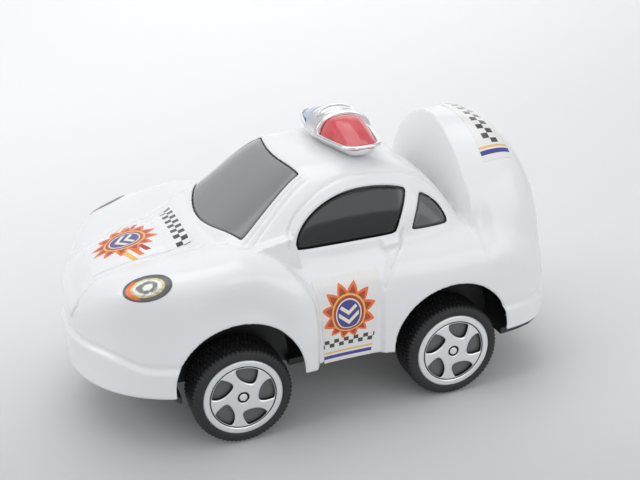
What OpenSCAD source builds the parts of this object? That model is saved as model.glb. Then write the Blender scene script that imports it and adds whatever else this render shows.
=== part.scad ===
// Friction-drive toy patrol car: one-piece shell on a flat chassis, four tyred wheels, flywheel drive.
// Millimetres. +X is forward, +Y is the car's left, +Z is up; the origin is on the ground, mid-length.

/* [Shell] */
// Length of the shell from nose to tail
shell_len = 148; // [136:1:160]
// Half width of the shell at the doors
door_half_w = 37.6; // [36.5:0.1:39]
// How far the fenders swell out beyond the doors
fender_swell = 3; // [1.5:0.1:4]
// Wall thickness of the shell
shell_wall = 1.4; // [1.2:0.1:1.8]
// Height of the bumper ridge above the shell's lower edge
ridge_h = 12; // [10:0.5:14]
// Height of the hood and belt above the bumper ridge
belt_h = 24; // [22:0.5:26]
// Height of the roof above the bumper ridge
roof_h = 44.6; // [42:0.2:46]
// Height of the tail hoop above the bumper ridge
tail_h = 49; // [47:0.5:52]
// Half width of the cabin at its foot
cabin_half_w = 32; // [30:0.5:33]
// Length of the cabin from the fastback's foot to the windscreen's foot
cabin_len = 79.5; // [77:0.5:82]

/* [Wheels] */
// Tyre outer diameter
tyre_d = 30; // [28:0.5:32]
// Tyre width
tyre_w = 12; // [10:0.5:12.5]
// Diameter of the wheel's bright face
rim_d = 23.6; // [21:0.2:25]
// Distance between the two outer tyre faces
track_outer = 79; // [78:0.5:80]
// Distance between the axles
wheelbase = 66.4; // [64:0.2:69]
// Place of the wheelbase's middle along the car
axle_shift = -2.2; // [-3:0.1:-1]
// Diameter of the axle rods
axle_d = 2; // [1.8:0.1:2.4]
// Height of the shell's lower edge above the axles
sill_rise = 3; // [2.6:0.1:4]
// Gap over the tyre inside a wheel arch
arch_gap = 8; // [6:0.5:9]
// Gap before and behind the tyre inside a wheel arch
arch_side_gap = 3.5; // [2.5:0.25:4]
// Number of shaped openings in a wheel face
wheel_slots = 5; // [4:1:6]
// Number of tread blocks round a tyre
tread_blocks = 40; // [30:2:44]

/* [Chassis] */
// Thickness of the chassis plate
plate_t = 2; // [1.6:0.1:2.4]
// Step from the shell's outside in to the chassis edge
plate_inset = 0.8; // [0.6:0.1:1.2]
// Thickness of the wheel-house walls
house_t = 1.4; // [1.2:0.1:1.8]
// Diameter of the shell's screw pillars
pillar_d = 5.6; // [5:0.2:6.4]
// Diameter of a screw's shank
screw_d = 2; // [1.8:0.1:2.2]
// Diameter of a screw's head
screw_head_d = 4; // [3.6:0.1:4.4]

/* [Drive] */
// Tooth module of the drive gears
gear_module = 0.5; // [0.45:0.01:0.52]
// Teeth on the axle gear
axle_teeth = 26; // [24:1:26]
// Teeth on the idler's small gear
idler_pinion_teeth = 12; // [12:1:13]
// Teeth on the idler's large gear
idler_teeth = 28; // [26:1:28]
// Teeth on the flywheel's pinion
fly_pinion_teeth = 12; // [12:1:13]
// Diameter of the flywheel
fly_d = 17; // [15:0.5:17]
// Thickness of the flywheel
fly_t = 7; // [5:0.5:7.2]
// Diameter of the idler pin and of the flywheel shaft
pin_d = 1.6; // [1.4:0.1:1.8]
// Rise of the line from the axle to the idler, degrees
idler_rise = 30; // [24:1:36]
// Rise of the line from the idler to the flywheel, degrees
fly_rise = 10; // [4:1:16]
// Wall thickness of the gearbox halves
box_wall = 1.2; // [1:0.1:1.5]
// Half width of the gearbox inside
box_half_in = 9; // [8.8:0.1:9.4]

/* [Light bar] */
// Distance of the light bar's middle ahead of the fastback's foot
bar_ahead = 33.2; // [31:0.2:35]
// Length of the light bar across the car
bar_len = 43; // [38:0.5:46]
// Depth of the light bar along the car
bar_depth = 15; // [13:0.5:16]
// Height of the lenses above the tray's floor
lens_h = 6.2; // [5:0.2:7]
// Height of the centre bridge above the tray's floor
bridge_h = 9.4; // [8:0.2:10.5]
// Width of the centre bridge across the car
bridge_w = 10; // [8:0.5:12]

/* [Fits] */
// Radial clearance of an axle or shaft in its bearing
run_gap = 0.05; // [0.03:0.01:0.08]
// Gap between pieces of one body that are pressed or glued together
seat_gap = 0.02; // [0.01:0.01:0.04]
// Clear gap between a moving piece and its surroundings
move_gap = 0.5; // [0.4:0.05:0.7]
// Thickness of the adhesive labels
label_t = 0.2; // [0.15:0.05:0.3]

/* [Hidden] */
$fn = 64;
hull_fn = 32;

// Main places
axle_z = tyre_d / 2;
sill_z = axle_z + sill_rise;
ridge_z = sill_z + ridge_h;
nose_x = shell_len / 2;
tail_x = -shell_len / 2;
front_x = axle_shift + wheelbase / 2;
rear_x = axle_shift - wheelbase / 2;
plate_z = sill_z - plate_t;
tyre_face_y = track_outer / 2;

// Lengths of the shell's zones, measured from its two ends
nose_len = 31;
hood_len = 38;
tail_len = 24;
hoop_len = 22.3;
hoop_front = 28.4;
hoop_rise = 5.6;
end_blunt = 0.3;

// Exponents of the shell's superellipses: 2 is round, larger is squarer
nose_n = 2.05;
hood_n = 2.6;
tail_n = 3.5;
deck_n = 2;
hoop_n = 2.5;
cabin_n = 4;
hoop_front_n = 1.9;
hoop_back_n = 2.85;
low_sec_n = 3.6;
low_sec_gain = 1.6;

// Cabin profile along the car, measured forwards from the fastback's foot
back_foot = tail_x + 26;
function cab(d) = back_foot + d;
screen_foot = cab(cabin_len);
screen_foot_h = belt_h + 3.4;
screen_slope = 0.71;
roof_mid = cab(36);
bar_x = cab(bar_ahead);
back_n = 2.2;
merge_k = 2.4;
roof_k = 3;

// Fender crowns, hood valleys and the taper of the skirt below the ridge
crown_h = 4;
valley_d = 1.6;
skirt_taper = 0.025;
skirt_phi = 30;

// Shape functions of the shell
function arc(u, n) = pow(max(0, 1 - pow(max(0, min(1, u)), n)), 1 / n);
function bell(v, at, spread) = exp(-pow((v - at) / spread, 2));
function ramp(v, from, to) =
  let (u = max(0, min(1, (v - from) / (to - from))))
  u * u * (3 - 2 * u);
function larger(a, b, k) = (a + b + sqrt(pow(a - b, 2) + k * k)) / 2;
function smaller(a, b, k) = (a + b - sqrt(pow(a - b, 2) + k * k)) / 2;
function oval(a, b, n, phi) = pow(pow(cos(phi) / a, n) + pow(sin(phi) / b, n), -1 / n);

// Half width of the shell at the bumper ridge
function plan_w(x) =
  (door_half_w + fender_swell * (bell(x, front_x, 22) + bell(x, rear_x, 20)))
  * arc((x - nose_x + nose_len) / (nose_len + end_blunt), nose_n)
  * arc((tail_x + tail_len - x) / (tail_len + end_blunt), tail_n);

// Height of the hood, belt and rear deck above the ridge
function deck_h(x) =
  belt_h
  * arc((x - nose_x + hood_len) / (hood_len + end_blunt), hood_n)
  * arc((tail_x + tail_len - x) / (tail_len + end_blunt), deck_n);

// Front fender crowns with the hood's shallow valleys beside them
function crown(x, phi) =
  ramp(x, nose_x - 62, nose_x - 40) * ramp(x, nose_x, nose_x - 16)
  * (crown_h * bell(phi, 34, 10) - valley_d * bell(phi, 57, 9));

function low_r(x, phi) =
  oval(plan_w(x), deck_h(x), low_sec_n + low_sec_gain * bell(x, nose_x - 24, 22), phi) + crown(x, phi);

// Height of the cabin above the ridge: windscreen, roof and fastback
function cabin_h(x) =
  smaller(
    roof_h * arc((roof_mid - x) / (roof_mid - back_foot), back_n) + roof_k / 8,
    screen_foot_h + (screen_foot - x) * screen_slope,
    roof_k);
function cabin_r(x, phi) =
  x > screen_foot + 12 || x < back_foot ? 0 : oval(cabin_half_w, max(1, cabin_h(x)), cabin_n, phi);

// Hoop of the tail: rises steeply behind the fastback, rounds down to the rear and grows squarer on the way
hoop_share = 0.93;
function hoop_sec_n(x, front) =
  hoop_front_n + (hoop_back_n - hoop_front_n) * ramp(x, front - 3, front - 32);
function hoop_top(x) = tail_h * arc((tail_x + hoop_len - x) / (hoop_len + end_blunt), hoop_n);
function hoop_r(x, phi) =
  let (front = tail_x + hoop_front + hoop_rise)
  x > front ? 0
  : ramp(x, front, front - hoop_rise)
    * oval(plan_w(x) * hoop_share, max(1, hoop_top(x)), hoop_sec_n(x, front), phi);

// Upright dent behind each rear quarter window
function dent(x, phi) = 1.6 * bell(x, tail_x + hoop_front - 1.9, 3.2) * bell(phi, 35, 9);

// Distance of the skin from the car's middle line, at ridge height, towards the angle phi
function skin_r(x, phi) =
  let (p = min(phi, 180 - phi))
  larger(larger(low_r(x, p), cabin_r(x, p), merge_k), hoop_r(x, p), merge_k)
  - merge_k / 10 - dent(x, p);

// Wall allowance along the radius, larger where the skin is steep along the car
function steep(x, phi) =
  min(6, sqrt(1 + pow(skin_r(x + 0.4, phi) - skin_r(x - 0.4, phi), 2) / 0.64));
function skin_point(x, phi, inset) =
  let (
    p = max(0, min(phi, 180 - phi)),
    below = max(0, -min(phi, 180 - phi)) / skirt_phi,
    side = phi > 90 ? -1 : 1,
    r = skin_r(x, p) - (inset == 0 ? 0 : inset * steep(x, p)),
    back_in = inset * pow(abs(x) / nose_x, 8) * sign(x))
  [x - back_in, side * r * cos(p) * (1 - skirt_taper * below), ridge_z + r * sin(p) - ridge_h * below];

// Stations along the shell, closer together at the ends and at the hoop's front
phi_steps = 26;
tail_steps = 9;
front_steps = 10;
mid_steps = 16;
nose_steps = 10;
hoop_face = 15;
mid_len = nose_x - nose_len - tail_x - hoop_len - hoop_face;
stations = concat(
  [for (i = [0:tail_steps - 1]) tail_x + hoop_len * (1 - cos(90 * i / tail_steps))],
  [for (i = [0:front_steps - 1]) tail_x + hoop_len + hoop_face * i / front_steps],
  [for (i = [0:mid_steps - 1]) tail_x + hoop_len + hoop_face + mid_len * i / mid_steps],
  [for (i = [0:nose_steps]) nose_x - nose_len + nose_len * sin(90 * i / nose_steps)]);

// One closed ring of the skin: up the left side, over the top and down the right side
function ring(x, inset, drop) =
  concat(
    [skin_point(x, -skirt_phi, inset) - [0, 0, drop]],
    [for (k = [0:phi_steps]) skin_point(x, 180 * k / phi_steps, inset)],
    [skin_point(x, 180 + skirt_phi, inset) - [0, 0, drop]]);

// Closed solid of the skin, moved inwards by inset, its floor lowered by drop
module skin(inset, drop) {
  m = phi_steps + 3;
  n = len(stations);
  pts = [for (x = stations) each ring(x, inset, drop)];
  walls = [for (i = [0:n - 2], k = [0:m - 1])
    let (a = i * m + k, b = i * m + (k + 1) % m)
    each [[a, a + m, b], [b, a + m, b + m]]];
  rear_cap = [[for (k = [0:m - 1]) k]];
  nose_cap = [[for (k = [m - 1:-1:0]) (n - 1) * m + k]];
  polyhedron(pts, concat(walls, rear_cap, nose_cap), convexity = 10);
}

// Thin patch that follows the skin between two stations and two angles
module patch(x0, x1, nx, phi0, phi1, np, low, high) {
  m = np + 1;
  top_at = (nx + 1) * m;
  xs = [for (i = [0:nx]) x0 + (x1 - x0) * i / nx];
  ps = [for (k = [0:np]) phi0 + (phi1 - phi0) * k / np];
  pts = concat(
    [for (x = xs, p = ps) skin_point(x, p, -low)],
    [for (x = xs, p = ps) skin_point(x, p, -high)]);
  sheet = [for (i = [0:nx - 1], k = [0:np - 1])
    let (a = i * m + k)
    each [[a, a + 1, a + m], [a + 1, a + m + 1, a + m]]];
  over = [for (f = sheet) [f[2] + top_at, f[1] + top_at, f[0] + top_at]];
  rim = concat(
    [for (k = [0:np - 1]) [k, k + 1]],
    [for (i = [0:nx - 1]) [i * m + np, (i + 1) * m + np]],
    [for (k = [0:np - 1]) [nx * m + np - k, nx * m + np - k - 1]],
    [for (i = [0:nx - 1]) [(nx - i) * m, (nx - i - 1) * m]]);
  edge = [for (e = rim) each [[e[1], e[0], e[0] + top_at], [e[1], e[0] + top_at, e[1] + top_at]]];
  polyhedron(pts, concat(sheet, over, edge), convexity = 6);
}

// Round bar along Y, from y0 to y1
module bar_y(d, x, z, y0, y1) {
  translate([x, y1, z])
    rotate([90, 0, 0])
      cylinder(d = d, h = y1 - y0);
}

module mirror_pair() {
  children();
  mirror([0, 1, 0]) children();
}

// Flat outline drawn in X and Z, thickened along Y from y0 to y1
module slab_y(y0, y1) {
  translate([0, y1, 0])
    rotate([90, 0, 0])
      linear_extrude(height = y1 - y0)
        children();
}

// Wheel arch and wheel-house sizes
arch_r = tyre_d / 2 + arch_side_gap;
arch_z = axle_z + arch_gap - arch_side_gap;
tyre_in_y = tyre_face_y - tyre_w;
house_y = tyre_in_y - 2;
reach_y = door_half_w + fender_swell + 5;

// Screw places: shell pillars, then gearbox flanges
pillar_front_x = (front_x + arch_r + nose_x) / 2 - 2;
pillar_rear_x = (rear_x - arch_r + tail_x) / 2 + 2;
pillar_y = 15;
pillar_grip = 9;
screw_slack = 0.2;
screw_head_t = 1.4;
pillars = [for (x = [pillar_front_x, pillar_rear_x], y = [-pillar_y, pillar_y]) [x, y]];

// Gear train: rear axle, idler, flywheel
gear_pressure = 20;
tooth_add = 0.75;
tooth_ded = 1.05;
tooth_play = 0.08;
function pitch_r(teeth) = gear_module * teeth / 2;
function tip_r(teeth) = pitch_r(teeth) + tooth_add * gear_module;
idler_dist = pitch_r(axle_teeth) + pitch_r(idler_pinion_teeth);
fly_dist = pitch_r(idler_teeth) + pitch_r(fly_pinion_teeth);
idler_x = rear_x + idler_dist * cos(idler_rise);
idler_z = axle_z + idler_dist * sin(idler_rise);
fly_x = idler_x + fly_dist * cos(fly_rise);
fly_z = idler_z + fly_dist * sin(fly_rise);
box_out = box_half_in + box_wall;
first_y0 = -box_half_in + move_gap;
first_y1 = first_y0 + 3.6;
second_y0 = first_y1 + move_gap + 0.3;
second_y1 = second_y0 + 2.8;
fly_y1 = box_half_in - move_gap;
fly_y0 = fly_y1 - fly_t;

// Gearbox flanges and their screws
flange_w = 6;
flange_t = 1.6;
flange_x0 = idler_x - 4;
flange_x1 = fly_x + 8;
flange_y = box_out + flange_w / 2 + 0.4;
flange_boss_h = 4;
flange_screws = [for (x = [flange_x0 + 3, flange_x1 - 3], y = [-flange_y, flange_y]) [x, y]];

// Roof height under the light bar, and the tray's floor
bar_roof_z = ridge_z + skin_r(bar_x, 90);
tray_z = bar_roof_z + 0.6;
tray_t = 1.2;
tray_rim = 0.9;
tray_taper = 2.4;
bar_round = 2.4;
bar_chamfer = 7;
foot_inset = 4;

// Side windows, measured from the fastback's foot and from the belt
pane_mid = 36;
pane_front = 22.5;
pane_rear = 26;
pane_h = 14;
pane_sill = -0.5;
post_foot = 25;
post_w = 4.6;
post_lean = 0.44;

// Windscreen, measured back from its foot
screen_foot_half = 24.5;
screen_top_half = 19.6;
screen_edge = 1;
screen_foot_bow = 7.5;
screen_pane_len = 23.5;
screen_top_bow = 2.6;
screen_sill = 1.6;

module wheel_arch(x) {
  mirror_pair() {
    bar_y(2 * arch_r, x, arch_z, house_y - house_t, reach_y);
    translate([x - arch_r, house_y - house_t, sill_z - 2])
      cube([2 * arch_r, reach_y - house_y + house_t, arch_z - sill_z + 2]);
  }
}

// Glazed openings: windscreen, door windows and rear quarter windows
module window_cuts() {
  screen_at = screen_foot - screen_edge;
  translate([0, 0, ridge_z + belt_h + screen_sill])
    linear_extrude(height = roof_h)
      polygon(concat(
        [for (a = [-1:0.25:1]) [screen_at - screen_foot_bow * a * a, screen_foot_half * a]],
        [for (a = [1:-0.25:-1]) [screen_at - screen_pane_len - screen_top_bow * a * a, screen_top_half * a]]));
  mirror_pair()
    slab_y(cabin_half_w / 2, reach_y)
      translate([back_foot, ridge_z + belt_h])
        side_panes();
}

// Door window and rear quarter window under one arch, with a leaning post between them
module side_panes() {
  difference() {
    translate([pane_mid, pane_sill])
      polygon([for (a = [0:10:180]) [(a < 90 ? pane_front : pane_rear) * cos(a), (pane_h - pane_sill) * sin(a)]]);
    translate([post_foot, 0])
      polygon([for (q = [[-1, pane_sill - 1], [1, pane_sill - 1], [1, pane_h + 1], [-1, pane_h + 1]])
        [q[0] * post_w / 2 - q[1] * post_lean, q[1]]]);
  }
}

// Wedge-shaped mirror fairing at the foot of the windscreen pillar
module mirror_wedge() {
  hull() {
    translate(skin_point(screen_foot - 8, 40, 0.4)) sphere(r = 0.8, $fn = 16);
    translate(skin_point(screen_foot - 20, 42, -0.4)) sphere(r = 0.9, $fn = 16);
    translate(skin_point(screen_foot - 21.6, 26, 0.1)) sphere(r = 0.8, $fn = 16);
  }
}

module door_handle() {
  hull()
    for (d = [26.8, 30.2])
      translate(skin_point(cab(d), 30, 0.4)) sphere(r = 1.3, $fn = 16);
}

// Screw pillar: tapered post from the shell's inside down to the chassis
module pillar(at) {
  difference() {
    intersection() {
      skin(shell_wall / 2, 0);
      hull() {
        translate([at[0], at[1], sill_z]) cylinder(d = pillar_d, h = 1, $fn = 24);
        translate([at[0], at[1], ridge_z + tail_h]) cylinder(d = pillar_d + 1, h = 1, $fn = 24);
      }
    }
    translate([at[0], at[1], sill_z - 1])
      cylinder(d = screw_d + 2 * seat_gap, h = pillar_grip + 2, $fn = 24);
  }
}

module body_shell() {
  color("white") {
    difference() {
      skin(0, 0);
      skin(shell_wall, 1);
      wheel_arch(front_x);
      wheel_arch(rear_x);
      window_cuts();
    }
    for (at = pillars) pillar(at);
    mirror_pair() {
      difference() {
        union() {
          mirror_wedge();
          door_handle();
        }
        skin(shell_wall / 2, 1);
      }
    }
  }
}

// One smoked moulding behind all the windows
module window_insert() {
  glass_gap = 0.5;
  glass_t = 1.2;
  color("dimgray")
    patch(cab(8.5), screen_foot, 20, 33, 147, 18,
      -(shell_wall + glass_gap + glass_t), -(shell_wall + glass_gap));
}

// Outline of the chassis plate, stepped in from the shell
plate_xs = concat(
  [for (i = [0:7]) tail_x + 1.2 + tail_len * (1 - cos(90 * i / 7))],
  [for (i = [1:8]) tail_x + tail_len + i * (nose_x - nose_len - tail_x - tail_len) / 9],
  [for (i = [0:8]) nose_x - nose_len + (nose_len - 1.2) * sin(90 * i / 8)]);
function plate_edge(x) = plan_w(x) * (1 - skirt_taper) - plate_inset;
module plate_outline() {
  polygon(concat(
    [for (x = plate_xs) [x, plate_edge(x)]],
    [for (i = [len(plate_xs) - 1:-1:0]) [plate_xs[i], -plate_edge(plate_xs[i])]]));
}

ear_y0 = 16;
ear_t = 4;
ear_half = 4;

module chassis() {
  well = tyre_d / 2 + 2.2;
  color("#1c1c1e")
    difference() {
      union() {
        translate([0, 0, plate_z])
          linear_extrude(height = plate_t)
            plate_outline();
        // Walls between the wheels and the inside of the car
        for (x = [front_x, rear_x])
          mirror_pair()
            intersection() {
              bar_y(2 * arch_r - 1, x, arch_z, house_y - house_t, house_y);
              translate([x - arch_r, 0, plate_z])
                cube([2 * arch_r, house_y, 2 * arch_r]);
            }
        // Bearing ears of the front axle
        mirror_pair()
          translate([front_x - ear_half, ear_y0, axle_z - 3])
            cube([2 * ear_half, ear_t, plate_z - axle_z + 3.5]);
        // Bosses that take the gearbox screws
        for (at = flange_screws)
          translate([at[0], at[1], plate_z - flange_boss_h])
            cylinder(d = pillar_d - 0.8, h = flange_boss_h + 0.5);
      }
      // Wheel wells
      for (x = [front_x, rear_x])
        mirror_pair()
          translate([x - well, house_y, plate_z - 1])
            cube([2 * well, reach_y - house_y, plate_t + 1.01]);
      // Opening that the gearbox hangs through
      translate([rear_x - tip_r(axle_teeth) - move_gap - box_wall - 0.3, -box_out - 0.3, plate_z - 1])
        cube([fly_x - rear_x + tip_r(axle_teeth) + fly_d / 2 + 2 * (move_gap + box_wall + 0.3),
          2 * box_out + 0.6, plate_t + 2]);
      // Channels over the axles and their bearings
      for (x = [front_x, rear_x])
        translate([x - axle_d / 2 - 0.6, -house_y - 1, plate_z - 1])
          cube([axle_d + 1.2, 2 * house_y + 2, 1 + plate_t * 0.35]);
      bar_y(axle_d + 2 * run_gap, front_x, axle_z, -house_y - 1, house_y + 1);
      // Screw holes
      for (at = pillars)
        translate([at[0], at[1], plate_z - 1])
          cylinder(d = screw_d + 2 * screw_slack, h = plate_t + 2);
      for (at = flange_screws)
        translate([at[0], at[1], plate_z - flange_boss_h - 1])
          cylinder(d = screw_d + 2 * seat_gap, h = flange_boss_h + plate_t + 2);
    }
}

// Pan-head screw: head seated at z = 0, shank pointing along +Z
module screw(grip) {
  difference() {
    union() {
      translate([0, 0, -screw_head_t]) cylinder(d = screw_head_d, h = screw_head_t);
      translate([0, 0, -0.1]) cylinder(d = screw_d, h = grip + 0.1);
    }
    for (a = [0, 90])
      rotate([0, 0, a])
        translate([-screw_head_d / 3, -0.25, -screw_head_t - 0.1])
          cube([screw_head_d * 2 / 3, 0.5, 0.7]);
  }
}

module body_screws() {
  color("silver")
    for (at = pillars)
      translate([at[0], at[1], plate_z])
        screw(plate_t + pillar_grip - 1);
}

module gearbox_screws() {
  color("silver")
    for (at = flange_screws)
      translate([at[0], at[1], sill_z + flange_t])
        mirror([0, 0, 1])
          screw(flange_t + plate_t + flange_boss_h - 1);
}

// Gearbox outline round the three gear centres, grown outwards
module box_outline(grow) {
  hull() {
    translate([rear_x, axle_z]) circle(r = tip_r(axle_teeth) + grow);
    translate([idler_x, idler_z]) circle(r = tip_r(idler_teeth) + grow);
    translate([fly_x, fly_z]) circle(r = fly_d / 2 + grow);
  }
}

module gearbox_half() {
  difference() {
    union() {
      slab_y(0, box_out)
        box_outline(move_gap + box_wall);
      translate([flange_x0, box_half_in, sill_z])
        cube([flange_x1 - flange_x0, box_wall + flange_w + 0.4, flange_t]);
    }
    slab_y(-1, box_half_in)
      box_outline(move_gap);
    bar_y(axle_d + 2 * run_gap, rear_x, axle_z, 0, box_out + 1);
    bar_y(pin_d + 2 * seat_gap, idler_x, idler_z, 0, box_out + 1);
    bar_y(pin_d + 2 * run_gap, fly_x, fly_z, 0, box_out + 1);
    for (at = flange_screws)
      translate([at[0], abs(at[1]), sill_z - 1])
        cylinder(d = screw_d + 2 * screw_slack, h = flange_t + 2);
  }
}

module gearbox_left() {
  color("ivory") gearbox_half();
}

module gearbox_right() {
  color("ivory") mirror([0, 1, 0]) gearbox_half();
}

// Involute gear outline with a tooth centred on the first axis
function inv(r, rb) =
  let (a = acos(min(1, rb / r)))
  tan(a) * 180 / PI - a;
function tooth_side(teeth, c, way) =
  let (
    rp = pitch_r(teeth),
    rb = rp * cos(gear_pressure),
    rr = rp - tooth_ded * gear_module,
    r0 = max(rb, rr),
    half = 90 / teeth - tooth_play / rp * 180 / PI + inv(rp, rb),
    flank = [for (i = [0:4]) let (r = r0 + (tip_r(teeth) - r0) * i / 4) [r, half - inv(r, rb)]])
  [for (q = concat([[rr, half]], flank))
    [q[0] * cos(c + way * q[1]), q[0] * sin(c + way * q[1])]];
function reversed(list) = [for (i = [len(list) - 1:-1:0]) list[i]];
module gear_outline(teeth) {
  polygon([for (t = [0:teeth - 1])
    let (c = 360 * t / teeth)
    each concat(tooth_side(teeth, c, -1), reversed(tooth_side(teeth, c, 1)))]);
}

// Gear on a Y axis through x, z, turned so that it meshes
module gear(teeth, x, z, turn, y0, y1) {
  slab_y(y0, y1)
    translate([x, z])
      rotate(turn)
        gear_outline(teeth);
}

module front_axle() {
  color("lightgray")
    bar_y(axle_d, front_x, axle_z, -tyre_face_y + 3, tyre_face_y - 3);
}

module rear_axle() {
  color("lightgray")
    bar_y(axle_d, rear_x, axle_z, -tyre_face_y + 3, tyre_face_y - 3);
}

module drive_gear() {
  color("white")
    difference() {
      gear(axle_teeth, rear_x, axle_z, idler_rise, first_y0, first_y1);
      bar_y(axle_d + 2 * seat_gap, rear_x, axle_z, first_y0 - 1, first_y1 + 1);
    }
}

module idler_pin() {
  color("lightgray")
    bar_y(pin_d, idler_x, idler_z, -box_out + 0.2, box_out - 0.2);
}

module idler_gear() {
  color("gold")
    difference() {
      union() {
        gear(idler_pinion_teeth, idler_x, idler_z, idler_rise + 180 + 180 / idler_pinion_teeth,
          first_y0, second_y0 + 0.2);
        gear(idler_teeth, idler_x, idler_z, fly_rise, second_y0, second_y1);
      }
      bar_y(pin_d + 2 * run_gap, idler_x, idler_z, first_y0 - 1, second_y1 + 1);
    }
}

module flywheel_pinion() {
  color("ivory")
    union() {
      gear(fly_pinion_teeth, fly_x, fly_z, fly_rise + 180 + 180 / fly_pinion_teeth,
        second_y0, second_y1);
      bar_y(pin_d, fly_x, fly_z, -box_out + 0.2, box_out - 0.2);
    }
}

module flywheel() {
  color("slategray")
    difference() {
      translate([fly_x, fly_y0, fly_z])
        rotate([-90, 0, 0])
          rotate_extrude()
            polygon([[pin_d / 2 + seat_gap, 0], [fly_d / 2 - 0.5, 0], [fly_d / 2, 0.5],
              [fly_d / 2, fly_t - 0.5], [fly_d / 2 - 0.5, fly_t], [fly_d / 2 - 2, fly_t],
              [fly_d / 2 - 2.6, fly_t - 1.5], [2.6, fly_t - 1.5], [2.2, fly_t],
              [pin_d / 2 + seat_gap, fly_t]]);
    }
}

// Wheel sizes: barrel under the tyre, blind openings in the face
rim_r = rim_d / 2;
barrel_r = rim_r - 1.3;
lip_t = 1.6;
slot_depth = 1.4;
slot_out = rim_r * 0.8;
slot_in = rim_r * 0.39;
slot_half = 20;
slot_swirl = 16;
slot_steps = 10;
hub_r = 3;

// Swirled teardrop opening of the wheel face
module wheel_slot() {
  side = [for (way = [1, -1]) [for (i = [0:slot_steps])
    let (
      s = sin(90 * i / slot_steps),
      r = slot_out + (slot_in - slot_out) * s,
      a = -slot_swirl * s * s + way * slot_half * cos(90 * i / slot_steps) * slot_out / r)
    [r * cos(a), r * sin(a)]]];
  polygon(concat(side[0], reversed([for (i = [0:slot_steps - 1]) side[1][i]])));
}

// Wheel in its own frame: axis +Z, bright face at z = 0
module wheel_form() {
  difference() {
    rotate_extrude()
      polygon([[0, -slot_depth - 1.2], [0, -0.3], [1.2, -0.3], [1.2, -0.7], [1.7, -0.7], [1.7, 0],
        [slot_out + 0.35, 0], [slot_out + 0.35, -0.5], [slot_out + 0.75, -0.5], [slot_out + 0.75, 0.1],
        [rim_r - 0.2, 0.1], [rim_r, -0.1], [rim_r, -lip_t], [barrel_r, -lip_t],
        [barrel_r, -tyre_w + lip_t], [rim_r - 0.6, -tyre_w + lip_t], [rim_r - 0.6, -tyre_w + 0.4],
        [barrel_r - 1.4, -tyre_w + 0.4], [barrel_r - 1.4, -slot_depth - 2.4],
        [hub_r, -slot_depth - 2.4], [hub_r, -tyre_w], [0, -tyre_w]]);
    for (i = [0:wheel_slots - 1])
      rotate(90 + 360 * i / wheel_slots)
        translate([0, 0, -slot_depth])
          linear_extrude(height = slot_depth + 1)
            wheel_slot();
    translate([0, 0, -tyre_w - 1])
      cylinder(d = axle_d + 2 * seat_gap, h = tyre_w + 1 - 3);
  }
}

// Toothed ring of tread blocks
module tread_ring(z0, w, turn) {
  root = tyre_d / 2 - 0.7;
  pitch = 360 / tread_blocks;
  translate([0, 0, z0])
    linear_extrude(height = w)
      rotate(turn * pitch)
        difference() {
          polygon([for (i = [0:tread_blocks - 1]) each
            [for (q = [[-0.46, root], [-0.34, tyre_d / 2], [0.34, tyre_d / 2], [0.46, root]])
              [q[1] * cos((i + q[0]) * pitch), q[1] * sin((i + q[0]) * pitch)]]]);
          circle(r = root - 1.5);
        }
}

// Tyre in the wheel's frame: round shoulders, tread blocks in staggered rows
module tyre_form() {
  core = tyre_d / 2 - 0.6;
  rows = 4;
  row_w = (tyre_w - 3) / rows;
  rotate_extrude()
    polygon(concat(
      [[rim_r + seat_gap, 0.1], [rim_r + seat_gap, -lip_t - seat_gap], [barrel_r + seat_gap, -lip_t - seat_gap],
        [barrel_r + seat_gap, -tyre_w + lip_t + seat_gap],
        [rim_r - 0.6 + seat_gap, -tyre_w + lip_t + seat_gap], [rim_r - 0.6 + seat_gap, -tyre_w]],
      [for (a = [-90:22.5:0]) [core - 1.8 + 1.8 * cos(a), -tyre_w + 1.8 + 1.8 * sin(a)]],
      [for (a = [0:22.5:90]) [core - 1.8 + 1.8 * cos(a), -1.9 + 1.8 * sin(a) + 0.1]]));
  for (i = [0:rows - 1])
    tread_ring(-tyre_w + 1.5 + i * row_w + 0.15, row_w - 0.3, i % 2 == 0 ? 0 : 0.5);
}

// Place a wheel-frame form at an axle; side is 1 on the left, -1 on the right
module at_wheel(x, side) {
  translate([x, 0, axle_z])
    mirror([0, side < 0 ? 1 : 0, 0])
      translate([0, tyre_face_y, 0])
        rotate([-90, 0, 0])
          children();
}

module wheel_at(x, side) {
  color("gainsboro") at_wheel(x, side) wheel_form();
}

module tyre_at(x, side) {
  color("#202022") at_wheel(x, side) rotate(-90) tyre_form();
}

// Rounded outline of the light bar, drawn in X and Y
module bar_outline(grow) {
  deep = bar_depth / 2 - bar_round;
  long = bar_len / 2 - bar_round;
  offset(r = bar_round + grow)
    polygon([[deep, bar_chamfer - long], [deep, long - bar_chamfer], [deep / 2, long], [-deep / 2, long],
      [-deep, long - bar_chamfer], [-deep, bar_chamfer - long], [-deep / 2, -long], [deep / 2, -long]]);
}

// Dish with a rim and a drawn-in underside, on a foot that follows the roof
module lightbar_tray() {
  color("lightgray") {
    translate([bar_x, 0, tray_z])
      difference() {
        hull() {
          linear_extrude(height = 0.1) bar_outline(-tray_taper);
          translate([0, 0, tray_t]) linear_extrude(height = tray_rim) bar_outline(0);
        }
        translate([0, 0, tray_t]) linear_extrude(height = bar_depth) bar_outline(-1);
      }
    difference() {
      translate([bar_x, 0, bar_roof_z - foot_inset])
        linear_extrude(height = tray_z - bar_roof_z + foot_inset + 0.1)
          bar_outline(-foot_inset);
      patch(bar_x - bar_depth, bar_x + bar_depth, 8, 45, 135, 14, -2 * foot_inset, seat_gap + 0.1);
    }
  }
}

// Top corners of the lenses and the bridge: how far they lean in, and their radius
lens_lean = 2.8;
lens_round = 1.4;

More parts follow.
